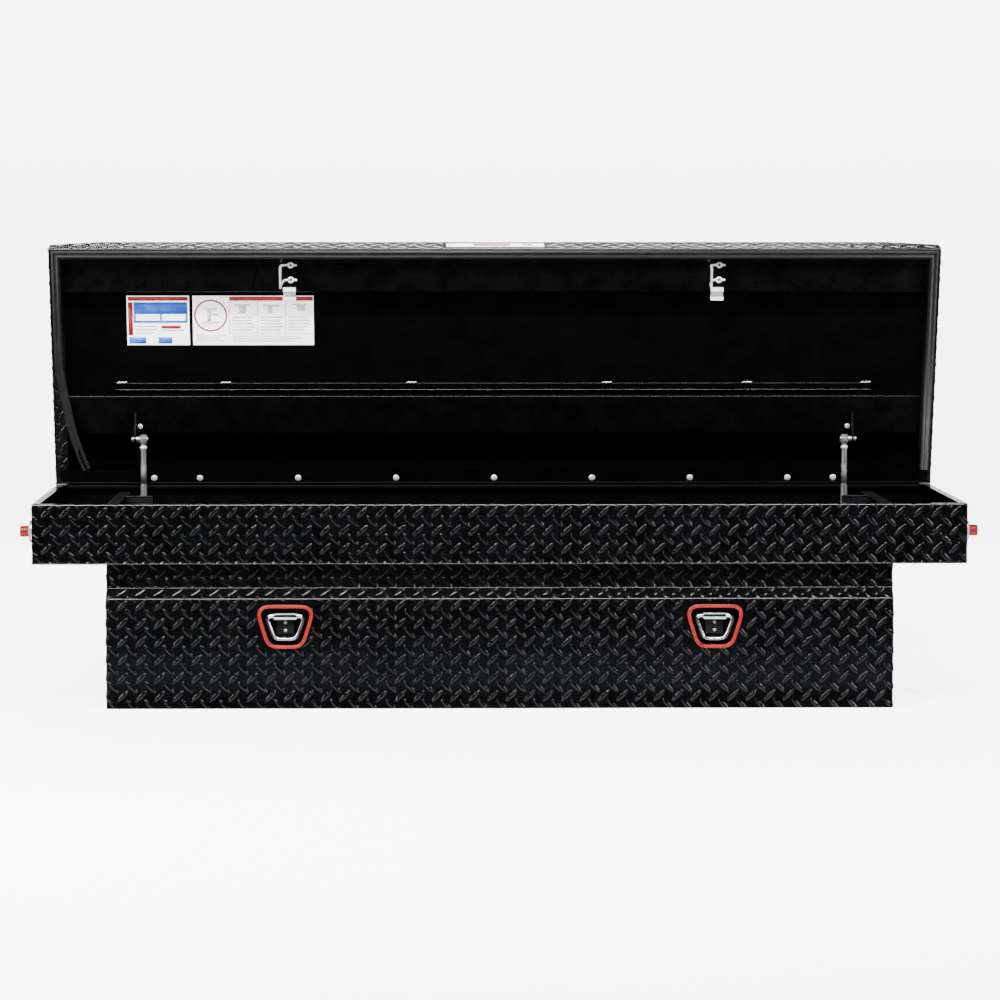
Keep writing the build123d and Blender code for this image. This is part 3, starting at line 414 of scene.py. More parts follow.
# ---- tread plate ----
class Patch:
    """A flat convex patch of tread plate: corners (u, v) anticlockwise on two axes from an origin.

    skip says which places hold no lug, start moves the pattern by shares of its pitch, and fold_at
    is the height at which the sheet folds back.
    """

    def __init__(self, origin, across, up, corners, skip=None, start=(0, 0), fold_at=None):
        """Keeps the patch's plane, outline and pattern."""
        self.origin, self.across, self.up = Vector(origin), Vector(across), Vector(up)
        self.corners = corners
        self.skip = skip
        self.start = start
        self.fold_at = fold_at


def lug_grid():
    """Along and across shares of a lug's points, and its faces."""
    count = len(LUG_ACROSS)
    along, across = np.meshgrid(LUG_STATIONS, LUG_ACROSS, indexing="ij")
    faces = [(row * count + i, (row + 1) * count + i, (row + 1) * count + i + 1, row * count + i + 1)
             for row in range(len(LUG_STATIONS) - 1) for i in range(count - 1)]
    return along.ravel(), across.ravel(), np.array(faces)


def half_width(along):
    """Half width of a lug at a share of its length."""
    return LUG_WIDTH / 2 * np.maximum(1 - along ** 2, 0) ** 0.6 + 0.00001


def lug_rise(along, across):
    """Height share over the sheet, zero outside the lug's outline."""
    ridge = np.maximum(1 - np.abs(along) ** 3, 0) ** 0.6
    return ridge * np.maximum(1 - np.abs(across) ** 3, 0) ** 0.75


def lattice(patch):
    """Middle points and slants of the lugs that fall on a patch."""
    lows, highs = np.min(patch.corners, 0), np.max(patch.corners, 0)
    spans = []
    for low, high, pitch, start in zip(lows, highs, LUG_PITCH, patch.start):
        first = math.floor((low - start * pitch - LUG_LENGTH / 2) / pitch)
        last = math.ceil((high - start * pitch + LUG_LENGTH / 2) / pitch)
        spans.append(range(first, last + 1))
    found = []
    for slant in (1, -1):
        for i in spans[0]:
            for j in spans[1]:
                u = (i + LUG_SHIFT * slant + patch.start[0]) * LUG_PITCH.x
                v = (j + LUG_SHIFT * slant + patch.start[1]) * LUG_PITCH.y
                if not (patch.skip and patch.skip(u, v)):
                    found.append((u, v, slant))
    return np.array(found)


def held_inside(u, v, corners):
    """Points moved straight to the nearest edge of a convex outline where they are outside."""
    for _ in range(2):
        for (u0, v0), (u1, v1) in zip(corners, corners[1:] + corners[:1]):
            length = math.hypot(u1 - u0, v1 - v0)
            nu, nv = -(v1 - v0) / length, (u1 - u0) / length
            out = np.minimum((u - u0) * nu + (v - v0) * nv, 0)
            u, v = u - out * nu, v - out * nv
    return u, v


def patch_lugs(patch):
    """Points (lug, point, xyz) of all lugs on a patch, cut at its edges."""
    along, across, _ = lug_grid()
    middles = lattice(patch)
    slope = math.sqrt(0.5)
    reach = along * LUG_LENGTH / 2
    side = across * half_width(along)
    slant = middles[:, 2:3]
    u = middles[:, 0:1] + slope * reach - slope * side * slant
    v = middles[:, 1:2] + slope * reach * slant + slope * side
    u, v = held_inside(u, v, patch.corners)
    du, dv = u - middles[:, 0:1], v - middles[:, 1:2]
    new_along = (du + dv * slant) * slope / (LUG_LENGTH / 2)
    new_across = (dv - du * slant) * slope / half_width(np.clip(new_along, -1, 1))
    rise = lug_rise(new_along, new_across) * LUG_HEIGHT
    keep = rise.max(axis=1) > LUG_HEIGHT * LUG_LEAST
    rise = np.where(rise > 0, rise, -LUG_SINK)
    up, out = over_fold(v, rise, patch.fold_at)
    normal = patch.across.cross(patch.up)
    axes = [np.array(a) for a in (patch.origin, patch.across, patch.up, normal)]
    points = axes[0] + u[..., None] * axes[1] + up[..., None] * axes[2] + out[..., None] * axes[3]
    return points[keep]


def over_fold(v, rise, fold_at):
    """Height and reach of points on a sheet that folds back by a right angle at fold_at.

    The lugs are lower past the fold, where the shut lid's seal lies over them.
    """
    if fold_at is None:
        return v, rise
    past = np.maximum(v - fold_at, 0)
    angle = np.minimum(past / FOLD, math.pi / 2)
    beyond = past - angle * FOLD
    rise = rise * (1 - (1 - RIM_RISE) * angle / (math.pi / 2))
    up = np.minimum(v, fold_at) + (FOLD + rise) * np.sin(angle)
    out = rise * np.cos(angle) - FOLD * (1 - np.cos(angle)) - beyond
    return up, out


def tread(name, body, patches, matrix=None):
    """One piece with the raised lugs of several patches."""
    _, _, faces = lug_grid()
    points = np.concatenate([patch_lugs(patch) for patch in patches])
    size = points.shape[1]
    all_faces = (faces[None] + (np.arange(len(points)) * size)[:, None, None]).reshape(-1, 4)
    obj = mesh_object(name, points.reshape(-1, 3).tolist(), all_faces.tolist())
    if matrix:
        obj.data.transform(matrix)
    return put(obj, body, "tread_plate", TREAD)


def rectangle(u_low, v_low, u_high, v_high):
    """Corners of an upright rectangle, anticlockwise."""
    return [(u_low, v_low), (u_high, v_low), (u_high, v_high), (u_low, v_high)]


RIGHT, LEFT, BACK, FORWARD, UP = (1, 0, 0), (-1, 0, 0), (0, 1, 0), (0, -1, 0), (0, 0, 1)
BAND_Y = PANEL_HIGH.y - SHEET
LEDGE_RUN = BAND_Y - FRONT
LEDGE_LOW = EAR_Z - BAND_HEIGHT - LEDGE_RUN
LEDGE_TOP = LEDGE_LOW + LEDGE_RUN
LEDGE_SLOPE = math.sqrt(0.5)


def over_bezel(u, v):
    """True where a lug would reach into a tie-down pan's mouth."""
    middle_z = (BEZELS_LOW.z + BEZELS_HIGH.z) / 2
    half_high = (BEZELS_HIGH.z - BEZELS_LOW.z) / 2
    ring_x = ring_middle("right")[0].x
    share = min(max((BEZELS_HIGH.z - v) / (2 * half_high), 0), 1)
    slanted = BEZEL_TOP_HALF + (BEZEL_FOOT_HALF - BEZEL_TOP_HALF) * share
    edge = min(BEZELS_HIGH.x - ring_x, slanted)
    return abs(abs(u) - ring_x) < edge + BEZEL_MARGIN and abs(v - middle_z) < half_high + BEZEL_MARGIN


def body_tread():
    """Lugs on the outside of the body sheets."""
    half = EAR_X - SHEET
    tub_half = TUB_X - SHEET
    fold_at = RIM - FOLD
    face = Patch((0, FRONT, 0), RIGHT, UP, rectangle(-half, EAR_Z + EDGE, half, fold_at + LIP_RUN),
                 None, FASCIA_START, fold_at)
    tread("tread_fascia", "box", [face])
    band = Patch((0, BAND_Y, 0), RIGHT, UP,
                 rectangle(-tub_half, LEDGE_TOP + BEND_EDGE, tub_half, EAR_Z - EDGE), None, BAND_START)
    slope_up = Vector((0, LEDGE_SLOPE, LEDGE_SLOPE))
    length = LEDGE_RUN / LEDGE_SLOPE
    ledge = Patch((0, FRONT, LEDGE_LOW), RIGHT, slope_up,
                  rectangle(-tub_half, BEND_EDGE, tub_half, length - BEND_EDGE), None, LEDGE_START)
    lower = Patch((0, FRONT, 0), RIGHT, UP, rectangle(-tub_half, EDGE, tub_half, LEDGE_LOW - BEND_EDGE),
                  over_bezel, LOWER_START)
    tread("tread_tub_front", "box", [band, ledge, lower])
    rear_low = Patch((0, REAR, 0), LEFT, UP, rectangle(-tub_half, EDGE, tub_half, EAR_Z - EDGE))
    rear_high = Patch((0, REAR, 0), LEFT, UP, rectangle(-half, EAR_Z + EDGE, half, RIM - FOLD))
    tread("tread_rear", "box", [rear_low, rear_high])
    for name, side, across in (("left", -1, FORWARD), ("right", 1, BACK)):
        body_end_tread(name, side, across)


def body_end_tread(name, side, across):
    """Lugs on one tub end and one ear end."""
    low, high = sorted((side * FRONT, side * REAR))
    band_low, band_high = sorted((side * BAND_Y, side * REAR))
    outlines = [rectangle(low, EDGE, high, LEDGE_LOW),
                rectangle(band_low, LEDGE_LOW, band_high, LEDGE_TOP),
                rectangle(band_low, LEDGE_TOP, band_high, EAR_Z)]
    ends = [Patch((side * TUB_X, 0, 0), across, UP, corners) for corners in outlines]
    tread(f"tread_tub_end_{name}", "box", ends)
    barrel_low, barrel_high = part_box("lock_barrels")
    lock_y = (barrel_low.y + barrel_high.y) / 2 * side
    lock_z = (barrel_low.z + barrel_high.z) / 2
    reach = (barrel_high.z - barrel_low.z) / 2 + LOCK_MARGIN

    def over_lock(u, v):
        """True where a lug would reach under the lock's flange."""
        return math.hypot(u - lock_y, v - lock_z) < reach

    fold_at = RIM - FOLD
    corners = rectangle(low + FOLD, EAR_Z, high - FOLD, fold_at + LIP_RUN)
    ear = Patch((side * EAR_X, 0, 0), across, UP, corners, over_lock, FASCIA_START, fold_at)
    tread(f"tread_ear_end_{name}", "box", [ear])


def lid_end_patches(side, across, end_z):
    """Bevel and skirt at one end of the lid."""
    y_low, y_high = sorted((side * LID_LOW.y, side * LID_HIGH.y))
    rise = Vector((-side * LID_BEVEL, 0, LID_HIGH.z - end_z))
    bevel = rectangle(y_low + LID_MARGIN, LID_MARGIN / 2, y_high - LID_MARGIN, rise.length - EDGE)
    skirt = rectangle(y_low, LID_LOW.z + FOLD, y_high, end_z - BEND_EDGE)
    return [Patch((side * LID_HIGH.x, 0, end_z), across, rise.normalized(), bevel),
            Patch((side * LID_HIGH.x, 0, 0), across, UP, skirt)]


def lid_tread():
    """Lugs on the outside of the lid, laid out with the lid shut and then opened."""
    low, high = LID_LOW, LID_HIGH
    end_z = low.z + LID_END_HEIGHT
    inner, outer = high.x - LID_BEVEL, high.x - FOLD
    flat = rectangle(-inner, low.y + LID_MARGIN, inner, high.y - LID_MARGIN)
    pieces = [Patch((0, 0, high.z), RIGHT, BACK, flat)]
    pieces += lid_end_patches(-1, FORWARD, end_z)
    pieces += lid_end_patches(1, BACK, end_z)
    z_foot, z_bend, z_top = low.z + FOLD, end_z - LID_MARGIN, high.z - LID_MARGIN
    corners = [(-outer, z_foot), (outer, z_foot), (outer, z_bend),
               (inner, z_top), (-inner, z_top), (-outer, z_bend)]
    badge_half = closed_box("lid_badge")[1].x

    def over_badge(u, v):
        """True where a lug would reach under the badge."""
        return abs(u) < badge_half + LID_MARGIN

    pieces.append(Patch((0, low.y, 0), RIGHT, UP, corners, over_badge))
    pieces.append(Patch((0, high.y, 0), LEFT, UP, corners))
    strip = rectangle(-outer, -AXIS.y + FLANGE_FROM_AXIS, -high.x + FLANGE - EDGE, -AXIS.y + PEEL_START)
    pieces.append(Patch((0, 0, low.z), RIGHT, FORWARD, strip))
    tread("tread_lid", "lid", pieces, TO_OPEN)


# ---- seal ----
SEAL_LOW, SEAL_HIGH = closed_box("lid_gasket")
SEAL_WIDTH = 0.0185
SEAL_RIDGES = 0.0047
SEAL_RIDGE_HALF = 0.0034
SEAL_BODY = 0.0034
SEAL_WALL_SHARE = 0.68
SEAL_HOLLOW = 0.05
PEEL_START = 0.247
PEEL_LINE = ((-0.8845, 0.167), (-0.8735, 0.110), (-0.8595, 0.062), (-0.8465, 0.027))


def seal_section():
    """Section of the seal: flat back and two ridges; across and rise below the flange."""
    depth = SEAL_HIGH.z - SEAL_LOW.z
    section = []
    for step in range(-16, 17):
        across = SEAL_WIDTH / 2 * step / 16
        ridge = abs(abs(across) - SEAL_RIDGES) / SEAL_RIDGE_HALF
        bulge = math.cos(math.pi / 2 * ridge) if ridge < 1 else 0
        round_off = math.sqrt(max(1 - abs(step / 16) ** 6, 0))
        section.append((across, -(SEAL_BODY + (depth - SEAL_BODY) * bulge) * round_off))
    back = [(SEAL_WIDTH / 2 * step / 4, -0.0002) for step in (3, 1, -1, -3)]
    return section + back


def seal_path():
    """Middle line of the seal, from its right rear end round the front to the loose left end."""
    inset = SEAL_WIDTH / 2
    x_side = SEAL_HIGH.x - inset
    y_front = SEAL_LOW.y + inset
    y_right = lid_node_rear("lid_gasket", x_side)
    turns = ((x_side, y_right), (x_side, y_front), (-x_side, y_front))
    path = [Vector((x, y, SEAL_HIGH.z)) for x, y in turns]
    loose = [Vector((-x_side, AXIS.y - PEEL_START, SEAL_HIGH.z))]
    loose += [Vector((x, AXIS.y - reach, SEAL_HIGH.z)) for x, reach in PEEL_LINE]
    return path + smooth_line(loose)


def lid_node_rear(node, near_x):
    """Largest y of a lid node's points near an x, with the lid shut."""
    points = [TO_CLOSED @ v.co for v in nodes[node].data.vertices]
    return max(p.y for p in points if abs(p.x - near_x) < SEAL_WIDTH)


def smooth_line(points, steps=8):
    """A smooth curve through points."""
    ends = [points[0] * 2 - points[1]] + points + [points[-1] * 2 - points[-2]]
    line = []
    for a, b, c, d in zip(ends, ends[1:], ends[2:], ends[3:]):
        for step in range(steps):
            t = step / steps
            line.append(0.5 * (2 * b + (c - a) * t + (2 * a - 5 * b + 4 * c - d) * t ** 2
                               + (3 * b - a - 3 * c + d) * t ** 3))
    return line + [points[-1]]


def make_seal():
    """Hollow ridged seal; its cut end stands open."""
    section = seal_section()
    path = seal_path()
    rings = swept(path, section, (0, 0, 1))
    middle = sum(rings[-1], Vector()) / len(section)
    inner = [middle + (point - middle) * SEAL_WALL_SHARE for point in rings[-1]]
    way = (path[-1] - path[-2]).normalized()
    deep = [point - way * SEAL_HOLLOW for point in inner]
    rings += [inner, deep]
    count = len(section)
    faces = rings_to_faces(len(rings), count)
    faces.append(tuple(range(count)))
    faces.append(tuple(len(rings) * count - 1 - i for i in range(count)))
    seal = mesh_object("seal", [point for ring in rings for point in ring], faces)
    on_lid(seal, "seal_rubber", RUBBER)
    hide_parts("lid_gasket")


# ---- stickers and badge ----
INK = 0.00015
BAR_SHARE = 0.45
RING_LINE = 0.0018


def stickers():
    """Low and high corners of each sticker with the lid shut."""
    points = [TO_CLOSED @ v.co for v in nodes["lid_labels"].data.vertices]
    xs = sorted({round(p.x, 4) for p in points})
    y_low, y_high = min(p.y for p in points), max(p.y for p in points)
    face = min(p.z for p in points)
    return [(Vector((xs[i], y_low, face)), Vector((xs[i + 1], y_high, face))) for i in (0, 2)]


def inked(name, sticker, areas, material):
    """A printed layer: areas as shares (left, top, right, bottom) of one sticker."""
    low, high = sticker
    size = high - low
    boxes = []
    for left, top, right, bottom in areas:
        near = (low.x + left * size.x, low.y + top * size.y, low.z - INK)
        far = (low.x + right * size.x, low.y + bottom * size.y, low.z)
        boxes.append((near, far))
    return on_lid(slabs(name, boxes, 0), "label_film", material)


def text_bars(left, right, top, bottom, count, ragged):
    """Plain bars in place of lines of print."""
    pitch = (bottom - top) / count
    bars = []
    for i in range(count):
        end = right - (right - left) * ragged * random.random()
        bars.append((left, top + i * pitch, end, top + (i + BAR_SHARE) * pitch))
    return bars


def make_print():
    """Generic warning-sticker layout without any words."""
    small, wide = stickers()
    inked("print_small_red", small, [(0.02, 0.02, 0.98, 0.1), (0.02, 0.13, 0.095, 0.8)], INK_RED)
    form = [(0.11, 0.13, 0.97, 0.37), (0.11, 0.5, 0.97, 0.55)]
    form += [(x, 0.37, x + 0.03, 0.5) for x in (0.11, 0.53, 0.94)]
    form += [(0.03, 0.84, 0.3, 0.97), (0.5, 0.84, 0.72, 0.97)]
    inked("print_small_blue", small, form, INK_BLUE)
    bars = text_bars(0.13, 0.5, 0.6, 0.8, 3, 0.3) + [(0.55, 0.68, 0.91, 0.71)]
    inked("print_small_grey", small, bars, INK_GREY)
    inked("print_small_mark", small, [(0.55, 0.6, 0.86, 0.665)], INK_RED)
    inked("print_wide_red", wide, [(0.303, 0.015, 0.995, 0.1)], INK_RED)
    lines = [(x, 0.1, x + 0.006, 0.76) for x in (0.3, 0.534, 0.766)] + [(0.3, 0.757, 0.995, 0.772)]
    inked("print_wide_lines", wide, lines, INK_GREY)
    bars = text_bars(0.325, 0.515, 0.42, 0.74, 5, 0.3) + text_bars(0.56, 0.75, 0.42, 0.74, 5, 0.3)
    bars += text_bars(0.79, 0.975, 0.42, 0.74, 5, 0.3) + text_bars(0.33, 0.96, 0.81, 0.95, 3, 0.2)
    bars += text_bars(0.03, 0.27, 0.8, 0.95, 3, 0.3)
    inked("print_wide_text", wide, bars, INK_GREY)
    figures = [(0.35, 0.17, 0.47, 0.2), (0.38, 0.2, 0.44, 0.36), (0.58, 0.18, 0.72, 0.22),
               (0.62, 0.22, 0.66, 0.36), (0.82, 0.16, 0.94, 0.19), (0.86, 0.19, 0.93, 0.3)]
    inked("print_wide_figures", wide, figures, INK_GREY)
    make_ring_mark(wide)


def make_ring_mark(sticker):
    """Thin red ring round the first picture."""
    low, high = sticker
    size = high - low
    middle = Vector((low.x + 0.148 * size.x, low.y + 0.4 * size.y, low.z))
    radius = size.y * 0.31
    circle = [middle + Vector((radius * math.cos(a), radius * math.sin(a), 0))
              for a in (math.tau * i / 48 for i in range(48))]
    section = [(-RING_LINE, 0.0), (-RING_LINE, -INK), (RING_LINE, -INK), (RING_LINE, 0.0)]
    rings = swept(circle, section, UP, True)
    points = [point for ring in rings for point in ring]
    mark = mesh_object("print_ring", points, rings_to_faces(len(rings), len(section), True), False)
    on_lid(mark, "label_film", INK_RED)
    bars = [(0.09, 0.25, 0.2, 0.28), (0.12, 0.28, 0.15, 0.52),
            (0.15, 0.36, 0.21, 0.4), (0.08, 0.52, 0.22, 0.56)]
    inked("print_picture", sticker, bars, INK_GREY)


def make_badge():
    """Plain badge with rounded edges and a red field at its middle."""
    low, high = closed_box("lid_badge")
    plate = slabs("badge", [(low, high)], 0.0006)
    on_lid(plate, "badge_plate", BADGE)
    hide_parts("lid_badge")
    middle = [((-0.045, low.y - INK, low.z + 0.006), (0.03, low.y, high.z - 0.006)),
              ((0.055, low.y - INK, low.z + 0.008), (0.075, low.y, high.z - 0.008))]
    on_lid(slabs("badge_field", middle, 0), "badge_plate", INK_RED)


# ---- fasteners ----
def head_profile(radius, height, washer=0.0):
    """Domed head from its rim to near its crown, with a small flange if wanted."""
    profile = [(radius + washer, 0.0), (radius + washer, height * 0.18)] if washer else [(radius, 0.0)]
    for step in range(9):
        angle = math.pi / 2 * step / 9
        profile.append((radius * math.cos(angle), height * (0.2 + 0.8 * math.sin(angle))))
    profile.append((radius * 0.05, height))
    return profile


def solids(node, matrix=None):
    """Low and high corners of each loose solid of a node."""
    mesh = bmesh.new()
    mesh.from_mesh(nodes[node].data)
    if matrix:
        mesh.transform(matrix)
    bmesh.ops.remove_doubles(mesh, verts=mesh.verts[:], dist=1e-6)
    left = set(mesh.verts)
    found = []
    while left:
        group, stack = set(), [left.pop()]
        while stack:
            vert = stack.pop()
            group.add(vert)
            for edge in vert.link_edges:
                other = edge.other_vert(vert)
                if other in left:
                    left.remove(other)
                    stack.append(other)
        places = np.array([v.co for v in group])
        found.append((Vector(places.min(0)), Vector(places.max(0))))
    mesh.free()
    return sorted(found, key=lambda pair: tuple(pair[0]))


DOWN = Matrix.Rotation(math.pi, 3, "X")


def make_heads(name, node, slot_name, material):
    """Round domed heads under the lid in place of a node's plain ones."""
    found = solids(node, TO_CLOSED)
    low, high = found[0]
    radius, height = (high.x - low.x) / 2, high.z - low.z
    places = [((a.x + b.x) / 2, (a.y + b.y) / 2, b.z) for a, b in found]
    heads = lathe(name, head_profile(radius, height), places, DOWN)
    on_lid(heads, slot_name, material)
    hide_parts(node)


def make_ring_screws():
    """Domed screw heads on the tie-down clips."""
    found = solids("ring_screws")
    low, high = found[0]
    radius, height = (high.x - low.x) / 2, high.y - low.y
    places = [((a.x + b.x) / 2, b.y, (a.z + b.z) / 2) for a, b in found]
    turn = Matrix.Rotation(math.pi / 2, 3, "X")
    heads = lathe("ring_screw_heads", head_profile(radius, height), places, turn)
    put(heads, "box", "bright_fastener", STRUT)
    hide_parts("ring_screws")


def make_saddles():
    """Zinc strap folded over each ring's top bar, with a slot along it."""
    for name in ("left", "right"):
        middle, low, high = ring_middle(name)
        face, half = low.y - 0.0019, 0.022
        lip = 0.0022
        top, foot = high.z + 0.0012, high.z - 0.0105
        boxes = [((middle.x - half, face, top - lip), (middle.x + half, middle.y, top)),
                 ((middle.x - half, face, foot), (middle.x + half, face + 0.002, foot + 0.0045)),
                 ((middle.x - half, face + 0.0012, foot), (middle.x + half, face + 0.003, top))]
        strap = slabs(f"ring_saddle_{name}", boxes, 0.0006)
        put(strap, "box", "zinc_steel", ZINC)


def make_guard_hems():
    """Hemmed top edge of each guard plate."""
    for name, side in (("left", -1), ("right", 1)):
        low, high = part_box(f"end_brace_{name}")
        inner = low.x if side > 0 else high.x
        points = [v.co for v in nodes[f"end_brace_{name}"].data.vertices if abs(v.co.x - inner) < 0.001]
        y = min(point.y for point in points)
        line = [Vector((inner, y, high.z - 0.0012)), Vector((inner + side * 0.054, y, high.z - 0.0012))]
        hem = wire(f"guard_hem_{name}", [line], 0.0014)
        put(hem, "box", "tread_plate", BRACE)


# ---- strikers and their clips ----
STRIKER_WIRE = 0.0023
STRIKER_EYE = 0.0046
STRIKER_EYE_APART = 0.0315
STRIKER_BAR = 0.040
STRIKER_AHEAD = 0.006


def make_striker(name):
    """Wire striker: the bar the hook catches, a curved leg, an eyelet and a tail on each foot."""
    low, high = closed_box(f"striker_{name}")
    middle = (low.y + high.y) / 2 - STRIKER_AHEAD
    x_bar, x_eye = low.x + 0.004, low.x + 0.0235
    top, bottom = high.z - 0.003 - STRIKER_WIRE, low.z + STRIKER_WIRE + 0.001
    paths = []
    for way in (-1, 1):
        y_eye = middle + way * STRIKER_EYE_APART / 2
        y_end = middle + way * STRIKER_BAR / 2
        eye = Vector((x_eye, y_eye, top))
        paths.append([eye + Vector((STRIKER_EYE * math.cos(a), STRIKER_EYE * math.sin(a), 0))
                      for a in (math.tau * i / 20 for i in range(21))])
        paths.append([eye + Vector((STRIKER_EYE, 0, 0)), eye + Vector((0.0125, 0, 0))])
        leg = [eye - Vector((STRIKER_EYE, 0, 0)), Vector((x_bar + 0.006, y_eye, top)),
               Vector((x_bar, y_end, (top + bottom) / 2)), Vector((x_bar, y_end, bottom))]
        paths.append(with_arcs(leg, 0.008))
    paths.append([Vector((x_bar, middle + way * STRIKER_BAR / 2, bottom)) for way in (-1, 1)])
    bent = wire(f"striker_wire_{name}", paths, STRIKER_WIRE)
    on_lid(bent, "zinc_steel", BRIGHT)
    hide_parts(f"striker_{name}")
    plate_low = (x_eye - 0.0085, middle - 0.024, high.z - 0.0028)
    plate_high = (x_eye + 0.009, middle + 0.024, high.z)
    plate = slabs(f"striker_plate_{name}", [(plate_low, plate_high)], 0.0008)
    on_lid(plate, "zinc_steel", SATIN)
    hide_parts(f"striker_{name}")
    places = [(x_eye, middle + way * STRIKER_EYE_APART / 2, high.z - 0.0028) for way in (-1, 1)]
    heads = lathe(f"striker_heads_{name}", head_profile(0.0022, 0.003), places, DOWN)
    on_lid(heads, "bright_fastener", SATIN)
    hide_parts("striker_screws")


ROD_CLIP_WIRE = 0.0009
ROD_WAVE = 0.0009
ROD_WAVES = 3
ROD_STEPS = 24


def make_rod_clips():
    """Bright wavy wire on top of each rod clip, a painted highlight on the clip's lit top, and the rail's hemmed
    edge.
    """
    rod_low = closed_box("lid_rod")[0]
    paths = []
    for low, high in solids("lid_rod_clips", TO_CLOSED):
        line = []
        for step in range(ROD_STEPS + 1):
            share = step / ROD_STEPS
            wave = ROD_WAVE * math.sin(math.tau * ROD_WAVES * share)
            x = low.x + (high.x - low.x) * share
            line.append(Vector((x, rod_low.y - 0.0016 + wave, rod_low.z - 0.0014)))
        paths.append(line)
    on_lid(wire("lid_rod_clip_painted_highlights", paths, ROD_CLIP_WIRE), "zinc_steel", BRIGHT)
    low, high = closed_box("lid_rod_rail")
    edge = [Vector((x, (low.y + high.y) / 2, low.z)) for x in (low.x, high.x)]
    on_lid(wire("lid_rail_hem", [edge], 0.0012), "sheet_black", TREAD)


def make_striker_clips():
    """Nylon clips: a round band at each end and fine ribs between."""
    boxes, middles = [], []
    for low, high in solids("striker_clips", TO_CLOSED):
        band = 0.0075
        top = high.z - 0.0005
        boxes.append((low, (high.x, low.y + band, top)))
        boxes.append(((low.x, high.y - band, low.z), high))
        middles.append(((low.x + 0.0006, low.y + band - 0.001, low.z + 0.0022),
                        (high.x - 0.0006, high.y - band + 0.001, top)))
        ribs = 6
        for rib in range(ribs):
            x = low.x + 0.003 + (high.x - low.x - 0.006) * rib / (ribs - 1)
            middles.append(((x - 0.0011, low.y + band - 0.001, low.z + 0.0008),
                            (x + 0.0011, high.y - band + 0.001, low.z + 0.004)))
    for name, parts, material in (("bands", boxes, NYLON), ("ribs", middles, RIBBED)):
        clips = slabs(f"striker_clip_{name}", parts, 0.0008)
        on_lid(clips, "zinc_steel", material)
        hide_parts("striker_clips")


# ---- tie-downs ----
def ring_middle(name):
    """Middle point and both corners of a tie-down ring's box."""
    low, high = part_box(f"tie_ring_{name}")
    return (low + high) / 2, low, high


def make_ring(name):
    """D-ring bent from round wire with eased corners."""
    middle, low, high = ring_middle(name)
    radius = (high.y - low.y) / 2
    half_top = (high.x - low.x) / 2 - radius
    half_foot = half_top * 0.56
    z_top, z_low = high.z - radius, low.z + radius
    corners = [(middle.x - half_top, middle.y, z_top), (middle.x + half_top, middle.y, z_top),
               (middle.x + half_foot, middle.y, z_low), (middle.x - half_foot, middle.y, z_low)]
    ring = wire(f"ring_{name}", [with_arcs(corners, 0.013, True)], radius, True)
    put(ring, f"ring_{name}", "zinc_steel", RING_CHROME)
    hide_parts(f"tie_ring_{name}")


BEZEL_TOP_HALF = 0.061
BEZEL_FOOT_HALF = 0.036
BEZEL_EASE = (0.029, 0.029, 0.018, 0.018)


def make_bezels():
    """Half-round trim frames round the pans."""
    band = 0.007
    proud = FRONT - BEZELS_LOW.y
    section = [(-band / 2, 0.0015), (-band / 2, -proud * 0.35), (-band / 2 + 0.0012, -proud * 0.8),
               (-band / 2 + 0.0028, -proud), (band / 2 - 0.0028, -proud), (band / 2 - 0.0012, -proud * 0.8),
               (band / 2, -proud * 0.35), (band / 2, 0.0015)]
    points, faces = [], []
    for name in ("left", "right"):
        middle_x = ring_middle(name)[0].x
        half_top, half_foot = BEZEL_TOP_HALF - band / 2, BEZEL_FOOT_HALF - band / 2
        z_top, z_low = BEZELS_HIGH.z - band / 2, BEZELS_LOW.z + band / 2
        corners = [(middle_x - half_top, FRONT, z_top), (middle_x + half_top, FRONT, z_top),
                   (middle_x + half_foot, FRONT, z_low), (middle_x - half_foot, FRONT, z_low)]
        rings = swept(with_arcs(corners, BEZEL_EASE, True), section, (0, 1, 0), True)
        first = len(points)
        points += [point for ring in rings for point in ring]
        faces += [tuple(first + i for i in face) for face in rings_to_faces(len(rings), len(section), True)]
    bezels = mesh_object("bezels", points, faces)
    put(bezels, "box", "red_trim", RED)
    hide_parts("ring_bezels")


# ---- struts ----
EYE = 0.0095
COLLAR_FROM_EYE = 0.0135
PRINT_FROM_EYE = 0.052


def strut_line(name):
    """Middle points of a strut's upper and lower eyes."""
    low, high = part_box(f"strut_tube_{name}")
    rod_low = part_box(f"strut_rod_{name}")[0]
    x = (low.x + high.x) / 2
    upper = Vector((x, high.y - EYE, high.z - EYE))
    lower = Vector((x, rod_low.y + EYE, rod_low.z + EYE))
    return upper, lower


def make_strut_ends(name):
    """Bright collar where the tube starts, moulded socket round the eye and a printed band."""
    upper, lower = strut_line(name)
    way = (lower - upper).normalized()
    turn = way.to_track_quat("Z", "Y").to_matrix()
    profile = [(0.0052, 0.0), (0.0066, 0.0006), (0.0072, 0.002), (0.0072, 0.0052),
               (0.0064, 0.0066), (0.0056, 0.0072)]
    collar = lathe(f"strut_collar_{name}", profile, [upper + way * COLLAR_FROM_EYE], turn)
    put(collar, f"strut_tube_{name}", "strut_metal", BRIGHT)
    crown = [(0.006, -0.0072), (0.0092, -0.007), (0.01, -0.0058), (0.0103, 0.0), (0.01, 0.0058),
             (0.0092, 0.007), (0.006, 0.0072)]
    across = Matrix.Rotation(math.pi / 2, 3, "Y")
    socket = lathe(f"strut_socket_{name}", crown, [upper], across)
    put(socket, f"strut_tube_{name}", "strut_metal", SOCKET)
    band = [(0.0055, 0.0), (0.00609, 0.0), (0.00609, 0.04), (0.0055, 0.04)]
    sleeve = lathe(f"strut_print_{name}", band, [upper + way * PRINT_FROM_EYE], turn, hollow=True)
    put(sleeve, f"strut_tube_{name}", "strut_metal", SOCKET)


# ---- folds and rear corners ----
HEM = 0.0012


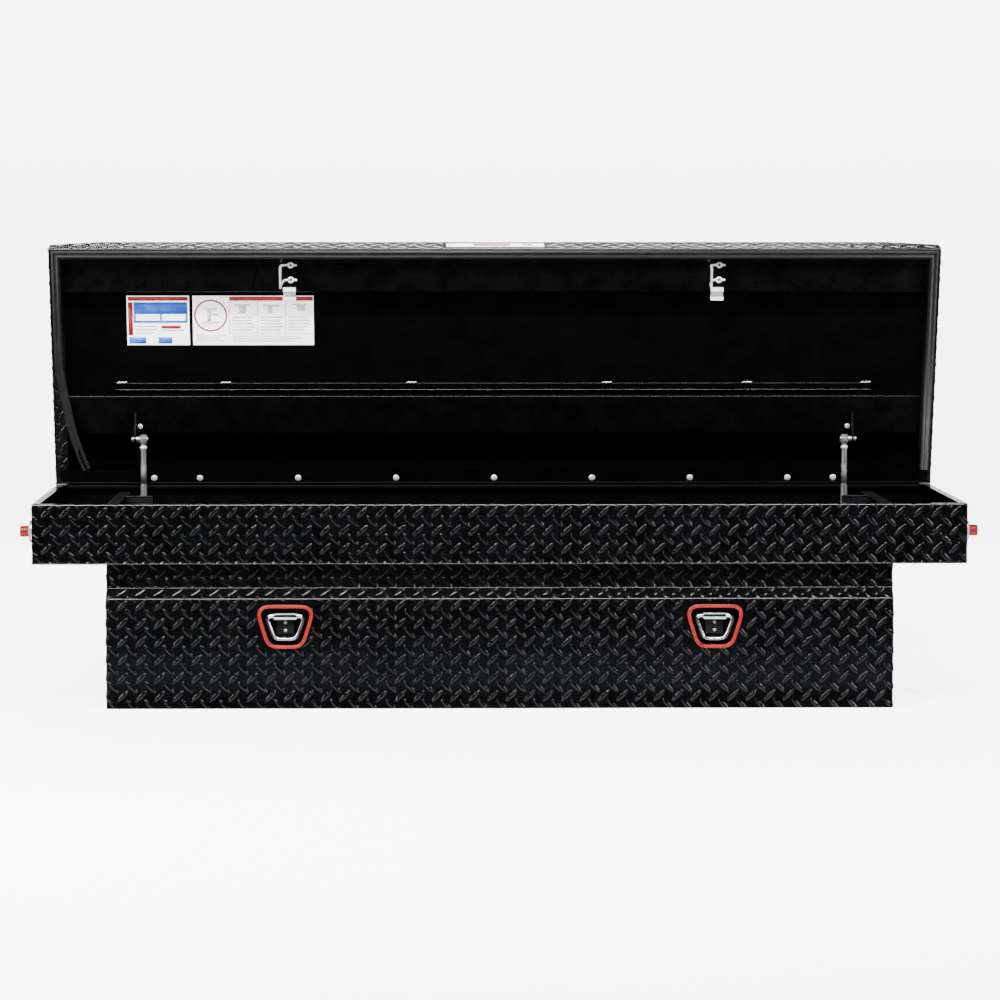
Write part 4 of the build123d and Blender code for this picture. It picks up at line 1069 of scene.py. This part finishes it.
def make_hems():
    """Rounded lower fold of the front sheet, where light catches along its edge."""
    half = EAR_X - SHEET
    line = [Vector((x, FRONT + HEM * 0.6, EAR_Z + HEM * 0.6)) for x in (-half, half)]
    put(wire("fascia_hem", [line], HEM), "box", "tread_plate", TREAD)


TAB = 0.022


def make_corner_tabs():
    """Grey tab at each rear corner of the rim, beside the hinge's end; its grey is a painted reflection on the
    black sheet.
    """
    boxes = []
    for side in (-1, 1):
        x_in, x_out = side * (EAR_X - TAB), side * (EAR_X - 0.001)
        boxes.append(((min(x_in, x_out), REAR - TAB, RIM), (max(x_in, x_out), REAR - 0.001, RIM + 0.0022)))
    put(slabs("corner_tabs", boxes, 0.0006), "box", "zinc_steel", PAINTED_SHEEN)


# ---- camera, light and floor ----
CAMERA_PLACE = (-0.1771, FRONT - 6.5398, RIM + 0.5522)
CAMERA_YAW = math.radians(0.8302)
CAMERA_PITCH = math.radians(4.7585)
CAMERA_LENS = 121.93
CAMERA_SHIFT = 0.042


def make_camera():
    """Camera at the photograph's viewing angle."""
    data = bpy.data.cameras.new("camera")
    camera = bpy.data.objects.new("camera", data)
    bpy.context.scene.collection.objects.link(camera)
    data.lens = CAMERA_LENS
    data.sensor_width = 36.0
    data.shift_x = CAMERA_SHIFT
    data.clip_end = 60.0
    camera.location = CAMERA_PLACE
    camera.rotation_euler = (math.pi / 2 - CAMERA_PITCH, 0, -CAMERA_YAW)
    bpy.context.scene.camera = camera


def area_light(name, place, target, size, power, roll=0.0):
    """A rectangular softbox aimed at a point and rolled about its aim."""
    data = bpy.data.lights.new(name, "AREA")
    data.shape = "RECTANGLE"
    data.size, data.size_y = size
    data.energy = power
    light = bpy.data.objects.new(name, data)
    bpy.context.scene.collection.objects.link(light)
    light.location = place
    turn = (Vector(target) - Vector(place)).to_track_quat("-Z", "Y").to_matrix()
    light.rotation_euler = (turn @ Matrix.Rotation(math.radians(roll), 3, "Z")).to_euler()
    return light


def make_light():
    """Soft studio light: boxes for edges and lugs, a low glow, and a card under the floor."""
    middle = (0, 0, 0.35)
    area_light("overhead", (0, -2.3, 3.2), middle, (3.2, 0.35), 420)
    area_light("key_left", (-1.95, -2.45, 2.83), middle, (1.8, 0.3), 190, 38)
    area_light("side_left", (-3.2, -1.4, 1.6), middle, (0.4, 1.2), 90)
    area_light("side_right", (3.2, -1.4, 1.6), middle, (0.4, 1.2), 110)
    area_light("back_top", (0, 2.4, 2.6), (0, 0.3, 0.8), (2.4, 0.4), 160)
    card = area_light("back_card", (0, 3.2, 1.1), (0, 0, 0.7), (6.0, 1.8), 60)
    card.visible_camera = False
    glow = area_light("low_glow", (0, -0.75, 0.01), (0, -0.75, 1), (3.2, 0.6), 1.5)
    glow.data.color = (0.75, 0.8, 1.0)
    glow.visible_camera = False
    foot = area_light("foot_card", (0, FRONT - 0.4, -0.5), (0, FRONT - 0.4, 1), (4.0, 0.6), 32)
    foot.visible_camera = False
    world = bpy.data.worlds.new("studio")
    bpy.context.scene.world = world
    world.use_nodes = True
    background = world.node_tree.nodes["Background"]
    background.inputs["Color"].default_value = (1, 1, 1, 1)
    background.inputs["Strength"].default_value = 0.02


FLOOR_HALF = 11.0
FLOOR_BEND = 8.5
FLOOR_RADIUS = 1.5
FLOOR_TOP = 6.0
FLOOR_STEPS = 16
FLOOR_GLOW = 4.5
DRUM_RADIUS = 14.0
DRUM_LOW = -3.0
DRUM_HIGH = 9.0


def make_floor():
    """Pale floor that curves up behind, inside a pale drum that only the camera sees."""
    line = [(-FLOOR_HALF, 0.0), (FLOOR_BEND, 0.0)]
    for i in range(1, FLOOR_STEPS + 1):
        angle = math.pi / 2 * i / FLOOR_STEPS
        y = FLOOR_BEND + FLOOR_RADIUS * math.sin(angle)
        line.append((y, FLOOR_RADIUS - FLOOR_RADIUS * math.cos(angle)))
    line.append((FLOOR_BEND + FLOOR_RADIUS, FLOOR_TOP))
    points = [(x, y, z) for y, z in line for x in (-FLOOR_HALF, FLOOR_HALF)]
    faces = [(2 * i, 2 * i + 1, 2 * i + 3, 2 * i + 2) for i in range(len(line) - 1)]
    floor = mesh_object("floor", points, faces)
    item, _, shader = principled("pale_floor", (0.9, 0.9, 0.9), 0.9, 0.0, 0.2)
    shader.inputs["Emission Color"].default_value = (1, 1, 1, 1)
    shader.inputs["Emission Strength"].default_value = FLOOR_GLOW
    floor.data.materials.append(item)
    floor.visible_glossy = False
    floor.visible_shadow = False
    drum = lathe("backdrop", [(DRUM_RADIUS, DRUM_LOW), (DRUM_RADIUS, DRUM_HIGH)], [(0, 0, 0)], steps=96)
    drum.data.materials.append(item)
    drum.visible_diffuse = False
    drum.visible_glossy = False
    drum.visible_shadow = False


make_camera()
make_light()
make_floor()
dress_nodes()
body_tread()
lid_tread()
make_seal()
make_print()
make_badge()
make_heads("hinge_bolt_heads", "hinge_bolts", "bright_fastener", BRIGHT)
make_heads("bracket_bolt_heads", "bracket_bolts", "bright_fastener", BRIGHT)
make_ring_screws()
make_striker_clips()
make_bezels()
make_saddles()
make_guard_hems()
make_rod_clips()
make_corner_tabs()
make_hems()
for hand in ("left", "right"):
    make_striker(hand)
    make_ring(hand)
    make_strut_ends(hand)
